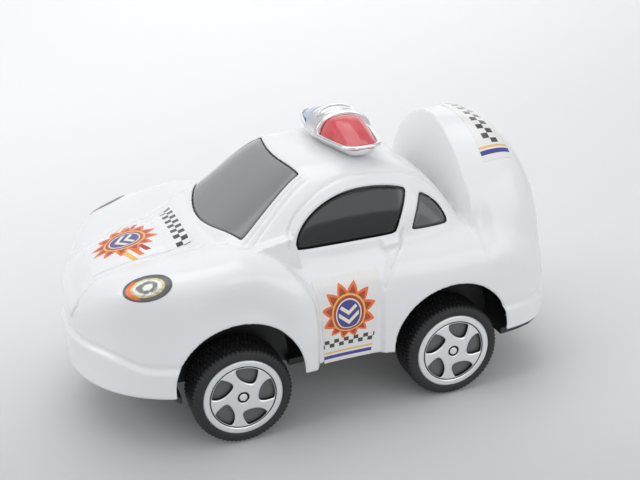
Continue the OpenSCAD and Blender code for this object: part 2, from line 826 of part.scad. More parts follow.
// Cross-section of the lenses and the bridge, drawn in X and Z
module lens_section(depth, height) {
  hull()
    for (s = [-1, 1]) {
      translate([s * (depth / 2 - 0.5), 0.5]) circle(r = 0.5, $fn = 16);
      translate([s * max(0.1, depth / 2 - lens_lean), height - lens_round]) circle(r = lens_round, $fn = hull_fn);
    }
}

// Lens place: its depth, the bend where its end starts to slope, its tip and the tip's share of its size
lens_depth = bar_depth - 3;
lens_z = tray_z + tray_t + seat_gap;
lens_end_y = bar_len / 2 - 1.6;
lens_bend_y = bar_len / 2 - bar_chamfer - 2;
lens_tip = 0.55;

// Hollow lens with a sloped, rounded outer end
module lens_form(shrink) {
  y0 = bridge_w / 2 + seat_gap;
  y1 = lens_end_y - shrink;
  translate([bar_x, 0, lens_z])
    hull() {
      slab_y(y0, y0 + 0.1) lens_section(lens_depth - 2 * shrink, lens_h - shrink);
      slab_y(lens_bend_y, lens_bend_y + 0.1) lens_section(lens_depth - 2 * shrink, lens_h - shrink);
      slab_y(y1 - 0.1, y1) lens_section(lens_depth * lens_tip - 2 * shrink, lens_h * lens_tip - shrink);
    }
}

module lens_shell() {
  difference() {
    lens_form(0);
    translate([0, -0.2, -0.2]) lens_form(1);
  }
}

module red_lens() {
  color("red") lens_shell();
}

module blue_lens() {
  color("dodgerblue") mirror([0, 1, 0]) lens_shell();
}

module lightbar_bridge() {
  color("lightgray")
    translate([bar_x, 0, lens_z])
      difference() {
        slab_y(-bridge_w / 2, bridge_w / 2) lens_section(lens_depth + 0.6, bridge_h);
        slab_y(-bridge_w / 2 - 1, bridge_w / 2 + 1)
          translate([0, -0.2]) lens_section(lens_depth - 1.4, bridge_h - 0.8);
      }
}

// Oval label that follows the skin
module oval_patch(x0, phi0, half_x, half_phi, low, high) {
  rings = 3;
  n = 24;
  top_at = rings * n + 1;
  flat = concat([[x0, phi0]], [for (i = [1:rings], k = [0:n - 1])
    [x0 + half_x * i / rings * cos(360 * k / n), phi0 + half_phi * i / rings * sin(360 * k / n)]]);
  pts = concat([for (q = flat) skin_point(q[0], q[1], -low)], [for (q = flat) skin_point(q[0], q[1], -high)]);
  fan = [for (k = [0:n - 1]) [0, 1 + (k + 1) % n, 1 + k]];
  bands = [for (i = [0:rings - 2], k = [0:n - 1])
    let (a = 1 + i * n + k, b = 1 + i * n + (k + 1) % n)
    each [[a, b, a + n], [b, b + n, a + n]]];
  sheet = concat(fan, bands);
  over = [for (f = sheet) [f[2] + top_at, f[1] + top_at, f[0] + top_at]];
  last = 1 + (rings - 1) * n;
  edge = [for (k = [0:n - 1])
    let (a = last + k, b = last + (k + 1) % n)
    each [[a, b, a + top_at], [b, b + top_at, a + top_at]]];
  polyhedron(pts, concat(sheet, over, edge), convexity = 4);
}

label_low = 0.12;
label_high = label_low + label_t;
hood_label_back = 36;
hood_label_front = 14;
door_label_rear = 36;
door_label_front = 58;
tail_label_rear = 12;
tail_label_front = 21.5;
headlight_back = 20.3;
headlight_half = 6.4;
headlight_turn = 5.4;

module hood_label() {
  color("orange")
    patch(nose_x - hood_label_back, nose_x - hood_label_front, 8, 66, 114, 10, label_low, label_high);
}

module door_label() {
  patch(cab(door_label_rear), cab(door_label_front), 8, -27, 24, 10, label_low, label_high);
}

module door_label_left() {
  color("orange") door_label();
}

module door_label_right() {
  color("orange") mirror([0, 1, 0]) door_label();
}

module tail_label() {
  color("orange")
    patch(tail_x + tail_label_rear, tail_x + tail_label_front, 5, 58, 122, 14, label_low, label_high);
}

module headlight_label() {
  oval_patch(nose_x - headlight_back, 33, headlight_half, headlight_turn, label_low, label_high);
}

module headlight_label_left() {
  color("gold") headlight_label();
}

module headlight_label_right() {
  color("gold") mirror([0, 1, 0]) headlight_label();
}

body_shell();
window_insert();
chassis();
body_screws();
lightbar_tray();
lightbar_bridge();
red_lens();
blue_lens();
gearbox_left();
gearbox_right();
gearbox_screws();
idler_pin();
front_axle();
rear_axle();
drive_gear();
idler_gear();
flywheel();
flywheel_pinion();
wheel_at(front_x, 1);  // wheel_front_left
wheel_at(front_x, -1);  // wheel_front_right
wheel_at(rear_x, 1);  // wheel_rear_left
wheel_at(rear_x, -1);  // wheel_rear_right
tyre_at(front_x, 1);  // tyre_front_left
tyre_at(front_x, -1);  // tyre_front_right
tyre_at(rear_x, 1);  // tyre_rear_left
tyre_at(rear_x, -1);  // tyre_rear_right
hood_label();
door_label_left();
door_label_right();
tail_label();
headlight_label_left();
headlight_label_right();
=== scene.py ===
"""Looks of the friction-drive toy patrol car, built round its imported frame.

Sizes are in millimetres, and meshes are scaled to metres as they are made. +X is forward,
+Y is the car's left and +Z is up, with the origin on the ground at mid-length.
"""

import logging
import math
from dataclasses import dataclass
from enum import Enum

import bpy
import numpy as np
from mathutils import Matrix, Vector


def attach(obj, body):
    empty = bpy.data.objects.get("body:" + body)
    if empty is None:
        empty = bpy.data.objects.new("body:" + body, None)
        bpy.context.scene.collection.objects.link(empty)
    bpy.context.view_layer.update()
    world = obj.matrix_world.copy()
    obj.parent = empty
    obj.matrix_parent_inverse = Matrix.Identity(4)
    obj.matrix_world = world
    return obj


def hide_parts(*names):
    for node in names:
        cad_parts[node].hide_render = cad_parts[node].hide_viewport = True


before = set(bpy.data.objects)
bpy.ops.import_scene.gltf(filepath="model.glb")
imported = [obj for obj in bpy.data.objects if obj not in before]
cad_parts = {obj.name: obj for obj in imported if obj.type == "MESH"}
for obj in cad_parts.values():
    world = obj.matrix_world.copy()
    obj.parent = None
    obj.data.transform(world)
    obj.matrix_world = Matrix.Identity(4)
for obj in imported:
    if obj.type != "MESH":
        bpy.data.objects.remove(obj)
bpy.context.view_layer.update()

LOG = logging.getLogger("patrol_car")
MM = 0.001
Array = np.ndarray
Material = bpy.types.Material
Colour = tuple[float, float, float]
Place = tuple[float, float, float]
Pair = tuple[float, float]


class Side(Enum):
    """The two sides of the car."""

    LEFT = 1
    RIGHT = -1

    @property
    def word(self) -> str:
        """Return the side's name as the pieces carry it."""
        return self.name.lower()

    def turned(self, phi: Array) -> Array:
        """Return angles of the left side, turned to this side."""
        return phi if self is Side.LEFT else 180 - phi

    def wound(self, faces: Array | list) -> Array | list:
        """Return faces that look outwards on the left, turned over where this is the right.

        Args:
            faces: The faces, as an array or as lists of different lengths.

        Returns:
            The faces in the same form.
        """
        if self is Side.LEFT:
            return faces
        return faces[:, ::-1] if isinstance(faces, Array) else [face[::-1] for face in faces]


class End(str, Enum):
    """The two ends of the car."""

    FRONT = "front"
    REAR = "rear"


class Body(str, Enum):
    """The frame's moving bodies that pieces ride on."""

    CAR = "car"
    FRONT = "front_wheelset"
    REAR = "rear_wheelset"


class Slot(str, Enum):
    """Material slots of the record."""

    SHELL = "shell_white"
    WINDOW = "smoked_window"
    CHASSIS = "chassis_black"
    CHROME = "chrome_trim"
    RED = "red_clear"
    BLUE = "blue_clear"
    GEAR = "gear_plastic"
    STEEL = "steel"
    FLYWHEEL = "flywheel_metal"
    WHEEL = "wheel_silver"
    TYRE = "tyre_rubber"
    LABEL = "label_print"


class Space(str, Enum):
    """Texture spaces that a material can read."""

    OBJECT = "Object"
    UV = "UV"


class Field:
    """A shader socket that takes part in arithmetic, each step one Math node."""

    def __init__(self, graph: "Graph", socket: bpy.types.NodeSocket) -> None:
        """Wrap one output socket of the graph."""
        self.graph = graph
        self.socket = socket

    def math(self, operation: str, *others: "Field | float") -> "Field":
        """Return the result of a Math node.

        Args:
            operation: Blender's name of the operation.
            others: The further operands.

        Returns:
            The node's output.
        """
        node = self.graph.tree.nodes.new("ShaderNodeMath")
        node.operation = operation
        for slot, value in zip(node.inputs, (self, *others)):
            self.graph.feed(slot, value)
        return Field(self.graph, node.outputs[0])

    def __add__(self, other: "Field | float") -> "Field":
        """Return the sum."""
        return self.math("ADD", other)

    def __sub__(self, other: "Field | float") -> "Field":
        """Return the difference."""
        return self.math("SUBTRACT", other)

    def __mul__(self, other: "Field | float") -> "Field":
        """Return the product."""
        return self.math("MULTIPLY", other)

    def size(self) -> "Field":
        """Return the value without its sign."""
        return self.math("ABSOLUTE")

    def step(self, low: float, high: float) -> "Field":
        """Return a smooth step from 0 to 1.

        Args:
            low: The value where it is 0.
            high: The value where it is 1.

        Returns:
            The step.
        """
        node = self.graph.tree.nodes.new("ShaderNodeMapRange")
        node.interpolation_type = "SMOOTHSTEP"
        self.graph.feed(node.inputs["Value"], self)
        node.inputs["From Min"].default_value = low
        node.inputs["From Max"].default_value = high
        return Field(self.graph, node.outputs["Result"])

    def below(self, edge: float, soft: float) -> "Field":
        """Return 1 below an edge and 0 above it, with a soft change."""
        return self.step(edge + soft, edge - soft)

    def band(self, low: float, high: float, soft: float) -> "Field":
        """Return 1 between low and high and 0 outside, with soft edges."""
        return self.step(low - soft, low + soft) * self.below(high, soft)


class Graph:
    """The node tree of one material, around a Principled shader."""

    def __init__(self, name: str) -> None:
        """Make an empty material with its shader and output.

        Args:
            name: The material's name.
        """
        self.material = bpy.data.materials.new(name)
        self.material.use_nodes = True
        self.tree = self.material.node_tree
        self.tree.nodes.clear()
        self.shader = self.tree.nodes.new("ShaderNodeBsdfPrincipled")
        output = self.tree.nodes.new("ShaderNodeOutputMaterial")
        self.tree.links.new(self.shader.outputs[0], output.inputs[0])

    def feed(self, slot: bpy.types.NodeSocket, value: "Field | float | Colour") -> None:
        """Link a field to a socket, or set a constant on it.

        Args:
            slot: The input socket.
            value: The field or the constant.
        """
        if isinstance(value, Field):
            self.tree.links.new(value.socket, slot)
        elif isinstance(value, tuple):
            slot.default_value = (*value, 1.0) if len(slot.default_value) == 4 else value
        else:
            slot.default_value = value

    def set(self, **values: "Field | float | Colour") -> None:
        """Set the shader's inputs by name, with underscores for spaces."""
        for name, value in values.items():
            self.feed(self.shader.inputs[name.replace("_", " ")], value)

    def coords(self, space: Space) -> tuple[Field, Field, Field]:
        """Return the three coordinates of a texture space.

        Args:
            space: The texture space.

        Returns:
            One field for each coordinate.
        """
        source = self.tree.nodes.new("ShaderNodeTexCoord")
        split = self.tree.nodes.new("ShaderNodeSeparateXYZ")
        self.tree.links.new(source.outputs[space.value], split.inputs[0])
        return tuple(Field(self, out) for out in split.outputs)

    def noise(self, scale: float, detail: float = 3.0) -> Field:
        """Return a noise field in object space.

        Args:
            scale: Its cycles a metre.
            detail: Its finer octaves.

        Returns:
            The noise.
        """
        source = self.tree.nodes.new("ShaderNodeTexCoord")
        node = self.tree.nodes.new("ShaderNodeTexNoise")
        node.inputs["Scale"].default_value = scale
        node.inputs["Detail"].default_value = detail
        self.tree.links.new(source.outputs[Space.OBJECT.value], node.inputs["Vector"])
        return Field(self, node.outputs[0])

    def mix(self, factor: Field, low: "Field | Colour", high: "Field | Colour") -> Field:
        """Return the colour between two others.

        Args:
            factor: The share of the second colour.
            low: The first colour.
            high: The second colour.

        Returns:
            The mixed colour.
        """
        node = self.tree.nodes.new("ShaderNodeMix")
        node.data_type = "RGBA"
        self.feed(node.inputs["Factor"], factor)
        self.feed(node.inputs[6], low)
        self.feed(node.inputs[7], high)
        return Field(self, node.outputs[2])

    def bump(self, height: Field, distance: float) -> None:
        """Add a bump to the shader.

        Args:
            height: The field of heights, from 0 to 1.
            distance: The full height in metres.
        """
        node = self.tree.nodes.new("ShaderNodeBump")
        node.inputs["Strength"].default_value = 1.0
        node.inputs["Distance"].default_value = distance
        self.feed(node.inputs["Height"], height)
        self.tree.links.new(node.outputs[0], self.shader.inputs["Normal"])


@dataclass(frozen=True, kw_only=True)
class Finish:
    """Base of the finishes: a colour with patchy gloss, a clear coat and a fine grain.

    The gloss is a range of roughness, the coat a weight and a roughness, and the grain the
    scale, detail and depth in metres of a noise.
    """

    name: str
    patch: float = 60.0
    gloss: Pair = (0.2, 0.3)
    coat: Pair = (0.0, 0.08)
    grain: tuple[float, float, float] = (900.0, 2.0, 0.00001)

    def colour(self, graph: Graph, cloud: Field) -> Field:
        """Return the colour and set the inputs that only this finish has."""
        raise NotImplementedError

    def material(self) -> Material:
        """Make the finish.

        Returns:
            Its node material.
        """
        graph = Graph(self.name)
        cloud = graph.noise(self.patch)
        low, high = self.gloss
        graph.set(
            Base_Color=self.colour(graph, cloud),
            Roughness=low if low == high else cloud * (high - low) + low,
            Coat_Weight=self.coat[0],
            Coat_Roughness=self.coat[1],
        )
        scale, detail, depth = self.grain
        graph.bump(graph.noise(scale, detail), depth)
        return graph.material


@dataclass(frozen=True, kw_only=True)
class Moulded(Finish):
    """A moulded or cast surface of two close tones."""

    tone: Colour
    shade: Colour
    metallic: float = 0.0

    def colour(self, graph: Graph, cloud: Field) -> Field:
        """Return the two tones in patches."""
        graph.set(Metallic=self.metallic)
        return graph.mix(cloud.step(0.3, 0.7), self.tone, self.shade)


@dataclass(frozen=True, kw_only=True)
class ClearLens(Finish):
    """Tinted clear plastic with a faint moulded ripple."""

    tint: Colour
    depth: Colour
    clear: float = 0.45
    bending: float = 1.49
    patch: float = 120.0
    gloss: Pair = (0.1, 0.1)
    coat: Pair = (0.6, 0.04)
    grain: tuple[float, float, float] = (220.0, 1.0, 0.00006)

    def colour(self, graph: Graph, cloud: Field) -> Field:
        """Return the tint, deeper in patches."""
        graph.set(IOR=self.bending, Transmission_Weight=self.clear)
        return graph.mix(cloud.step(0.35, 0.65), self.tint, self.depth)


@dataclass(frozen=True, kw_only=True)
class WheelFace(Finish):
    """Bright face metal with black moulding in every recess, told apart by depth; the moulding is painted
    lit on the floor and in painted shade on the walls.
    """

    face_y: float
    bright: Colour = (0.85, 0.86, 0.87)
    # floor and wall are one black moulding: a lit tone on the floor, painted shade on the walls
    floor: Colour = (0.125, 0.127, 0.13)
    wall: Colour = (0.012, 0.012, 0.013)
    wall_from: Pair = (0.34, 0.28)
    floor_from: Pair = (1.42, 1.48)
    metallic: float = 0.75
    patch: float = 300.0
    gloss: Pair = (0.24, 0.36)
    grain: tuple[float, float, float] = (1400.0, 2.0, 0.000012)

    def colour(self, graph: Graph, cloud: Field) -> Field:
        """Return the colour by the depth behind the wheel's face, with painted shade on the recess walls.

        Args:
            graph: The material's graph.
            cloud: The patches, not used here.

        Returns:
            The colour.
        """
        out = graph.coords(Space.OBJECT)[1].size()
        face, floor = (
            out.step((self.face_y - start) * MM, (self.face_y - end) * MM)
            for start, end in (self.wall_from, self.floor_from)
        )
        graph.set(Metallic=face * self.metallic)
        # painted shade: the recess walls are darker than the lit floor of the same moulding
        return graph.mix(face, graph.mix(floor, self.wall, self.floor), self.bright)


@dataclass(frozen=True, kw_only=True)
class SweepPaper(Finish):
    """Matt paper with painted shade: greyer towards the front of the stage."""

    # painted shade: the near tone darkens the paper towards the camera
    far: Colour = (0.74, 0.74, 0.745)
    near: Colour = (0.52, 0.523, 0.53)
    far_y: float = -60.0
    near_y: float = 130.0
    slant: float = 0.5
    patch: float = 3.0
    gloss: Pair = (0.55, 0.7)
    grain: tuple[float, float, float] = (60.0, 2.0, 0.00002)

    def colour(self, graph: Graph, cloud: Field) -> Field:
        """Return the paper's grey by the place on the stage, with painted shade towards the front."""
        x, y, _ = graph.coords(Space.OBJECT)
        # painted shade, mixed in by the place on the stage
        return graph.mix((y + x * self.slant).step(self.far_y * MM, self.near_y * MM), self.far, self.near)


@dataclass(frozen=True, kw_only=True)
class SmokedPane(Finish):
    """Smoked plastic with painted reflection, lighter in the screen and the quarter panes than in the doors.
    """

    # one smoked plastic in three tones; the lighter screen and quarter tones are painted reflection
    door: Colour = (0.012, 0.013, 0.015)
    screen: Colour = (0.225, 0.228, 0.236)
    quarter: Colour = (0.11, 0.112, 0.116)
    screen_half: float = 25.6
    screen_soft: float = 0.8
    quarter_x: float = -23.0
    quarter_soft: float = 1.5
    pane_end: float = 11.5
    gloss: Pair = (0.09, 0.16)
    coat: Pair = (0.12, 0.08)
    grain: tuple[float, float, float] = (160.0, 2.0, 0.00002)

    def colour(self, graph: Graph, cloud: Field) -> Field:
        """Return the smoke of the pane at each place, with painted reflection in the screen and the quarter
        panes.

        Args:
            graph: The material's graph.
            cloud: The patches, not used here.

        Returns:
            The colour.
        """
        x, y, _ = graph.coords(Space.OBJECT)
        quarter = x.below(self.quarter_x * MM, self.quarter_soft * MM)
        screen = y.size().below(self.screen_half * MM, self.screen_soft * MM)
        screen = screen.math("MAXIMUM", x.step(self.pane_end * MM, (self.pane_end + 1) * MM))
        # painted reflection: the screen and quarter panes are mixed lighter than the doors
        return graph.mix(screen, graph.mix(quarter, self.door, self.quarter), self.screen)


NAVY: Colour = (0.055, 0.06, 0.28)
AMBER: Colour = (0.83, 0.5, 0.09)
ORANGE: Colour = (0.83, 0.17, 0.025)
BRICK: Colour = (0.42, 0.055, 0.035)
CREAM: Colour = (0.86, 0.78, 0.62)
INK: Colour = (0.055, 0.055, 0.058)
PAPER: Colour = (0.8, 0.79, 0.765)
SHELL_WHITE: Colour = (0.83, 0.835, 0.845)

SHELL_PLASTIC = Moulded(
    name="shell_plastic", tone=SHELL_WHITE, shade=(0.81, 0.815, 0.825),
    gloss=(0.2, 0.27), coat=(0.35, 0.08), grain=(420.0, 2.0, 0.000012),
)
CHROME = Moulded(
    name="bright_chrome", tone=(0.86, 0.86, 0.86), shade=(0.8, 0.8, 0.81),
    gloss=(0.06, 0.12), metallic=1.0, grain=(200.0, 2.0, 0.00002),
)
RUBBER = Moulded(
    name="tyre_rubber", tone=(0.014, 0.014, 0.015), shade=(0.022, 0.022, 0.023),
    gloss=(0.5, 0.65), grain=(1500.0, 2.0, 0.00003),
)
PAN_PLASTIC = Moulded(
    name="chassis_plastic", tone=(0.016, 0.016, 0.017), shade=(0.024, 0.024, 0.025),
    gloss=(0.38, 0.5), grain=(700.0, 2.0, 0.00002),
)
STEEL = Moulded(
    name="plated_steel", tone=(0.62, 0.62, 0.63), shade=(0.5, 0.5, 0.51), gloss=(0.2, 0.34), metallic=1.0,
)
IVORY = Moulded(name="gear_plastic", tone=(0.72, 0.69, 0.58), shade=(0.66, 0.63, 0.52), gloss=(0.3, 0.42))
ZINC = Moulded(
    name="cast_zinc", tone=(0.42, 0.43, 0.45), shade=(0.3, 0.31, 0.33),
    gloss=(0.3, 0.45), metallic=1.0, grain=(500.0, 2.0, 0.00001),
)
RED_PLASTIC = ClearLens(name="red_plastic", tint=(0.93, 0.14, 0.155), depth=(0.86, 0.07, 0.085), clear=0.4)
BLUE_PLASTIC = ClearLens(name="blue_plastic", tint=(0.36, 0.6, 0.86), depth=(0.26, 0.5, 0.8))


@dataclass(frozen=True, kw_only=True)
class Print(Finish):
    """Base of the printed labels: gloss paper that layers of ink are mixed on to."""

    width: float
    height: float
    soft: float = 0.06
    patch: float = 180.0
    gloss: Pair = (0.22, 0.32)
    coat: Pair = (0.4, 0.1)
    grain: tuple[float, float, float] = (180.0, 3.0, 0.00003)

    def place(self, graph: Graph) -> tuple[Field, Field]:
        """Return the label's two coordinates in millimetres, from its middle."""
        across, up, _ = graph.coords(Space.UV)
        return (across - 0.5) * self.width, (up - 0.5) * self.height

    def rosette(self, graph: Graph, base: "Field | Colour", x: Field, y: Field, radius: float) -> Field:
        """Lay a sunburst rosette with two chevrons over the base.

        Args:
            graph: The label's graph.
            base: The colour below.
            x: Distance across from the rosette's middle.
            y: Distance up from the rosette's middle.
            radius: Outer radius of the rays.

        Returns:
            The new colour.
        """
        rays, ray_depth, chevron_slope, chevron_high = 12, 0.62, 0.7, 0.13
        reach = (x * x + y * y).math("SQRT")
        turn = y.math("ARCTAN2", x) * (rays / math.tau)
        tip = reach + (turn.math("FRACT") - 0.5).size() * (radius * ray_depth)
        ink = base
        for share, colour in ((1.0, ORANGE), (0.86, BRICK)):
            ink = graph.mix(tip.below(radius * share, self.soft), ink, colour)
        for share, colour in ((0.62, AMBER), (0.56, BRICK), (0.47, CREAM), (0.43, NAVY)):
            ink = graph.mix(reach.below(radius * share, self.soft), ink, colour)
        bend = y - x.size() * chevron_slope
        inside = reach.below(radius * 0.37, self.soft)
        for level in (-0.3, -0.02):
            chevron = bend.band(radius * level, radius * (level + chevron_high), self.soft)
            ink = graph.mix(chevron * inside, ink, CREAM)
        return ink

    def checker(self, graph: Graph, base: "Field | Colour", x: Field, y: Field, cell: float) -> Field:
        """Lay two rows of dark squares over the base, around y = 0.

        Args:
            graph: The label's graph.
            base: The colour below.
            x: Distance along the rows.
            y: Distance up from between the rows.
            cell: The side of a square.

        Returns:
            The new colour.
        """
        odd = ((x * (1 / cell)).math("FLOOR") + (y * (1 / cell)).math("FLOOR")) * 0.5
        square = odd.math("FRACT").step(0.2, 0.3)
        return graph.mix(square * y.band(-cell, cell, self.soft * 0.4), base, INK)


@dataclass(frozen=True, kw_only=True)
class HoodPrint(Print):
    """Rosette between two fans of bars, with a checker row before the screen, for the hood."""

    bar_at: float = 8.8
    bar_pitch: float = 2.9
    bar_half: float = 0.85
    bar_lean: float = 0.5
    bar_reach: Pair = (6.6, 13.6)
    bar_shorter: float = 1.5
    rosette_at: float = 3.0
    rosette_r: float = 10.2
    checker_from: float = -9.5
    checker_at: float = -12.0
    cell: float = 1.9

    def colour(self, graph: Graph, cloud: Field) -> Field:
        """Return the print.

        Args:
            graph: The label's graph.
            cloud: The patches, not used here.

        Returns:
            The ink on the paper.
        """
        x, y = self.place(graph)
        away = y.size()
        ink: Field | Colour = SHELL_WHITE
        for step, colour in enumerate((AMBER, ORANGE, BRICK)):
            line = x + away * self.bar_lean - (self.bar_at - self.bar_pitch * step)
            reach = away.band(self.bar_reach[0], self.bar_reach[1] - self.bar_shorter * step, self.soft)
            ink = graph.mix(line.band(-self.bar_half, self.bar_half, self.soft) * reach, ink, colour)
        ink = self.rosette(graph, ink, y, (x - self.rosette_at) * -1.0, self.rosette_r)
        rows = self.checker(graph, SHELL_WHITE, y, x - self.checker_at, self.cell)
        return graph.mix(x.step(self.checker_from + 0.1, self.checker_from), ink, rows)


@dataclass(frozen=True, kw_only=True)
class DoorPrint(Print):
    """Rosette over a checker row and two stripes, for a door."""

    stripes: tuple[tuple[float, float, Colour], ...] = ((1.6, 3.1, NAVY), (4.0, 4.7, AMBER))
    checker_at: float = 8.3
    cell: float = 1.7
    rosette_at: float = 4.0
    rosette_r: float = 8.4

    def colour(self, graph: Graph, cloud: Field) -> Field:
        """Return the print.

        Args:
            graph: The label's graph.
            cloud: The patches, not used here.

        Returns:
            The ink on the paper.
        """
        x, y = self.place(graph)
        foot = self.height / 2
        ink: Field | Colour = PAPER
        for low, high, colour in self.stripes:
            ink = graph.mix(y.band(low - foot, high - foot, self.soft), ink, colour)
        ink = self.checker(graph, ink, x, y + (foot - self.checker_at), self.cell)
        return self.rosette(graph, ink, x, y - self.rosette_at, self.rosette_r)


@dataclass(frozen=True, kw_only=True)
class TailPrint(Print):
    """Checker row across the tail between stripes at its two ends."""

    stripes: tuple[tuple[float, float, Colour], ...] = ((5.4, 4.6, AMBER), (3.9, 2.2, NAVY))
    checker_end: float = 6.3
    cell: float = 2.3

    def colour(self, graph: Graph, cloud: Field) -> Field:
        """Return the print.

        Args:
            graph: The label's graph.
            cloud: The patches, not used here.

        Returns:
            The ink on the paper.
        """
        x, y = self.place(graph)
        out = x.size()
        end = self.width / 2
        rows = self.checker(graph, PAPER, x, y, self.cell)
        ink = graph.mix(out.below(end - self.checker_end, 0.1), PAPER, rows)
        for low, high, colour in self.stripes:
            ink = graph.mix(out.band(end - low, end - high, self.soft), ink, colour)
        return ink


@dataclass(frozen=True, kw_only=True)
class LampPrint(Print):
    """Oval lamp picture: dark rim, amber corner, cream ring and a bright glass middle."""

    edge: Colour = (0.1, 0.1, 0.1)
    rim: Colour = (0.13, 0.13, 0.135)
    ring: tuple[Colour, Colour] = ((0.72, 0.64, 0.3), (0.5, 0.42, 0.2))
    glass: tuple[Colour, Colour] = ((0.2, 0.2, 0.19), (0.88, 0.88, 0.84))
    corner_from: Pair = (0.3, 0.55)
    rim_from: Pair = (0.9, 0.86)
    ring_from: Pair = (0.72, 0.68)
    glass_from: Pair = (0.6, 0.55)

    def colour(self, graph: Graph, cloud: Field) -> Field:
        """Return the picture.

        Args:
            graph: The label's graph.
            cloud: The patches, not used here.

        Returns:
            The ink on the paper.
        """
        x, y = self.place(graph)
        x, y = x * (2 / self.width), y * (2 / self.height)
        reach = (x * x + y * y).math("SQRT")
        rim = graph.mix(x.step(*self.corner_from), self.rim, ORANGE)
        ring = graph.mix(graph.noise(900.0).step(0.4, 0.6), *self.ring)
        mottle = graph.noise(620.0) + (reach * 15.0).math("SINE") * 0.16
        glass = graph.mix(mottle.step(0.36, 0.66), *self.glass)
        ink: Field | Colour = self.edge
        for start, colour in ((self.rim_from, rim), (self.ring_from, ring), (self.glass_from, glass)):
            ink = graph.mix(reach.step(*start), ink, colour)
        return ink


def arc(share: Array, power: float) -> Array:
    """Return the height of a superellipse of size 1 at a share of its half length."""
    return np.maximum(0, 1 - np.clip(share, 0, 1) ** power) ** (1 / power)


def bell(value: Array, middle: float, spread: float) -> Array:
    """Return a bell curve of height 1."""
    return np.exp(-(((value - middle) / spread) ** 2))


def ramp(value: Array, start: float, end: float) -> Array:
    """Return a smooth step from 0 at start to 1 at end."""
    share = np.clip((value - start) / (end - start), 0, 1)
    return share * share * (3 - 2 * share)


def larger(a: Array, b: Array, soft: float) -> Array:
    """Return the larger of two values with a soft change-over."""
    return (a + b + np.sqrt((a - b) ** 2 + soft * soft)) / 2


def smaller(a: Array, b: Array, soft: float) -> Array:
    """Return the smaller of two values with a soft change-over."""
    return (a + b - np.sqrt((a - b) ** 2 + soft * soft)) / 2


def oval(half_w: Array, height: Array, power: Array, phi: Array) -> Array:
    """Return the radius of a superellipse towards an angle in radians."""
    wide = (np.cos(phi) / half_w) ** power
    return (wide + (np.sin(phi) / height) ** power) ** (-1 / power)


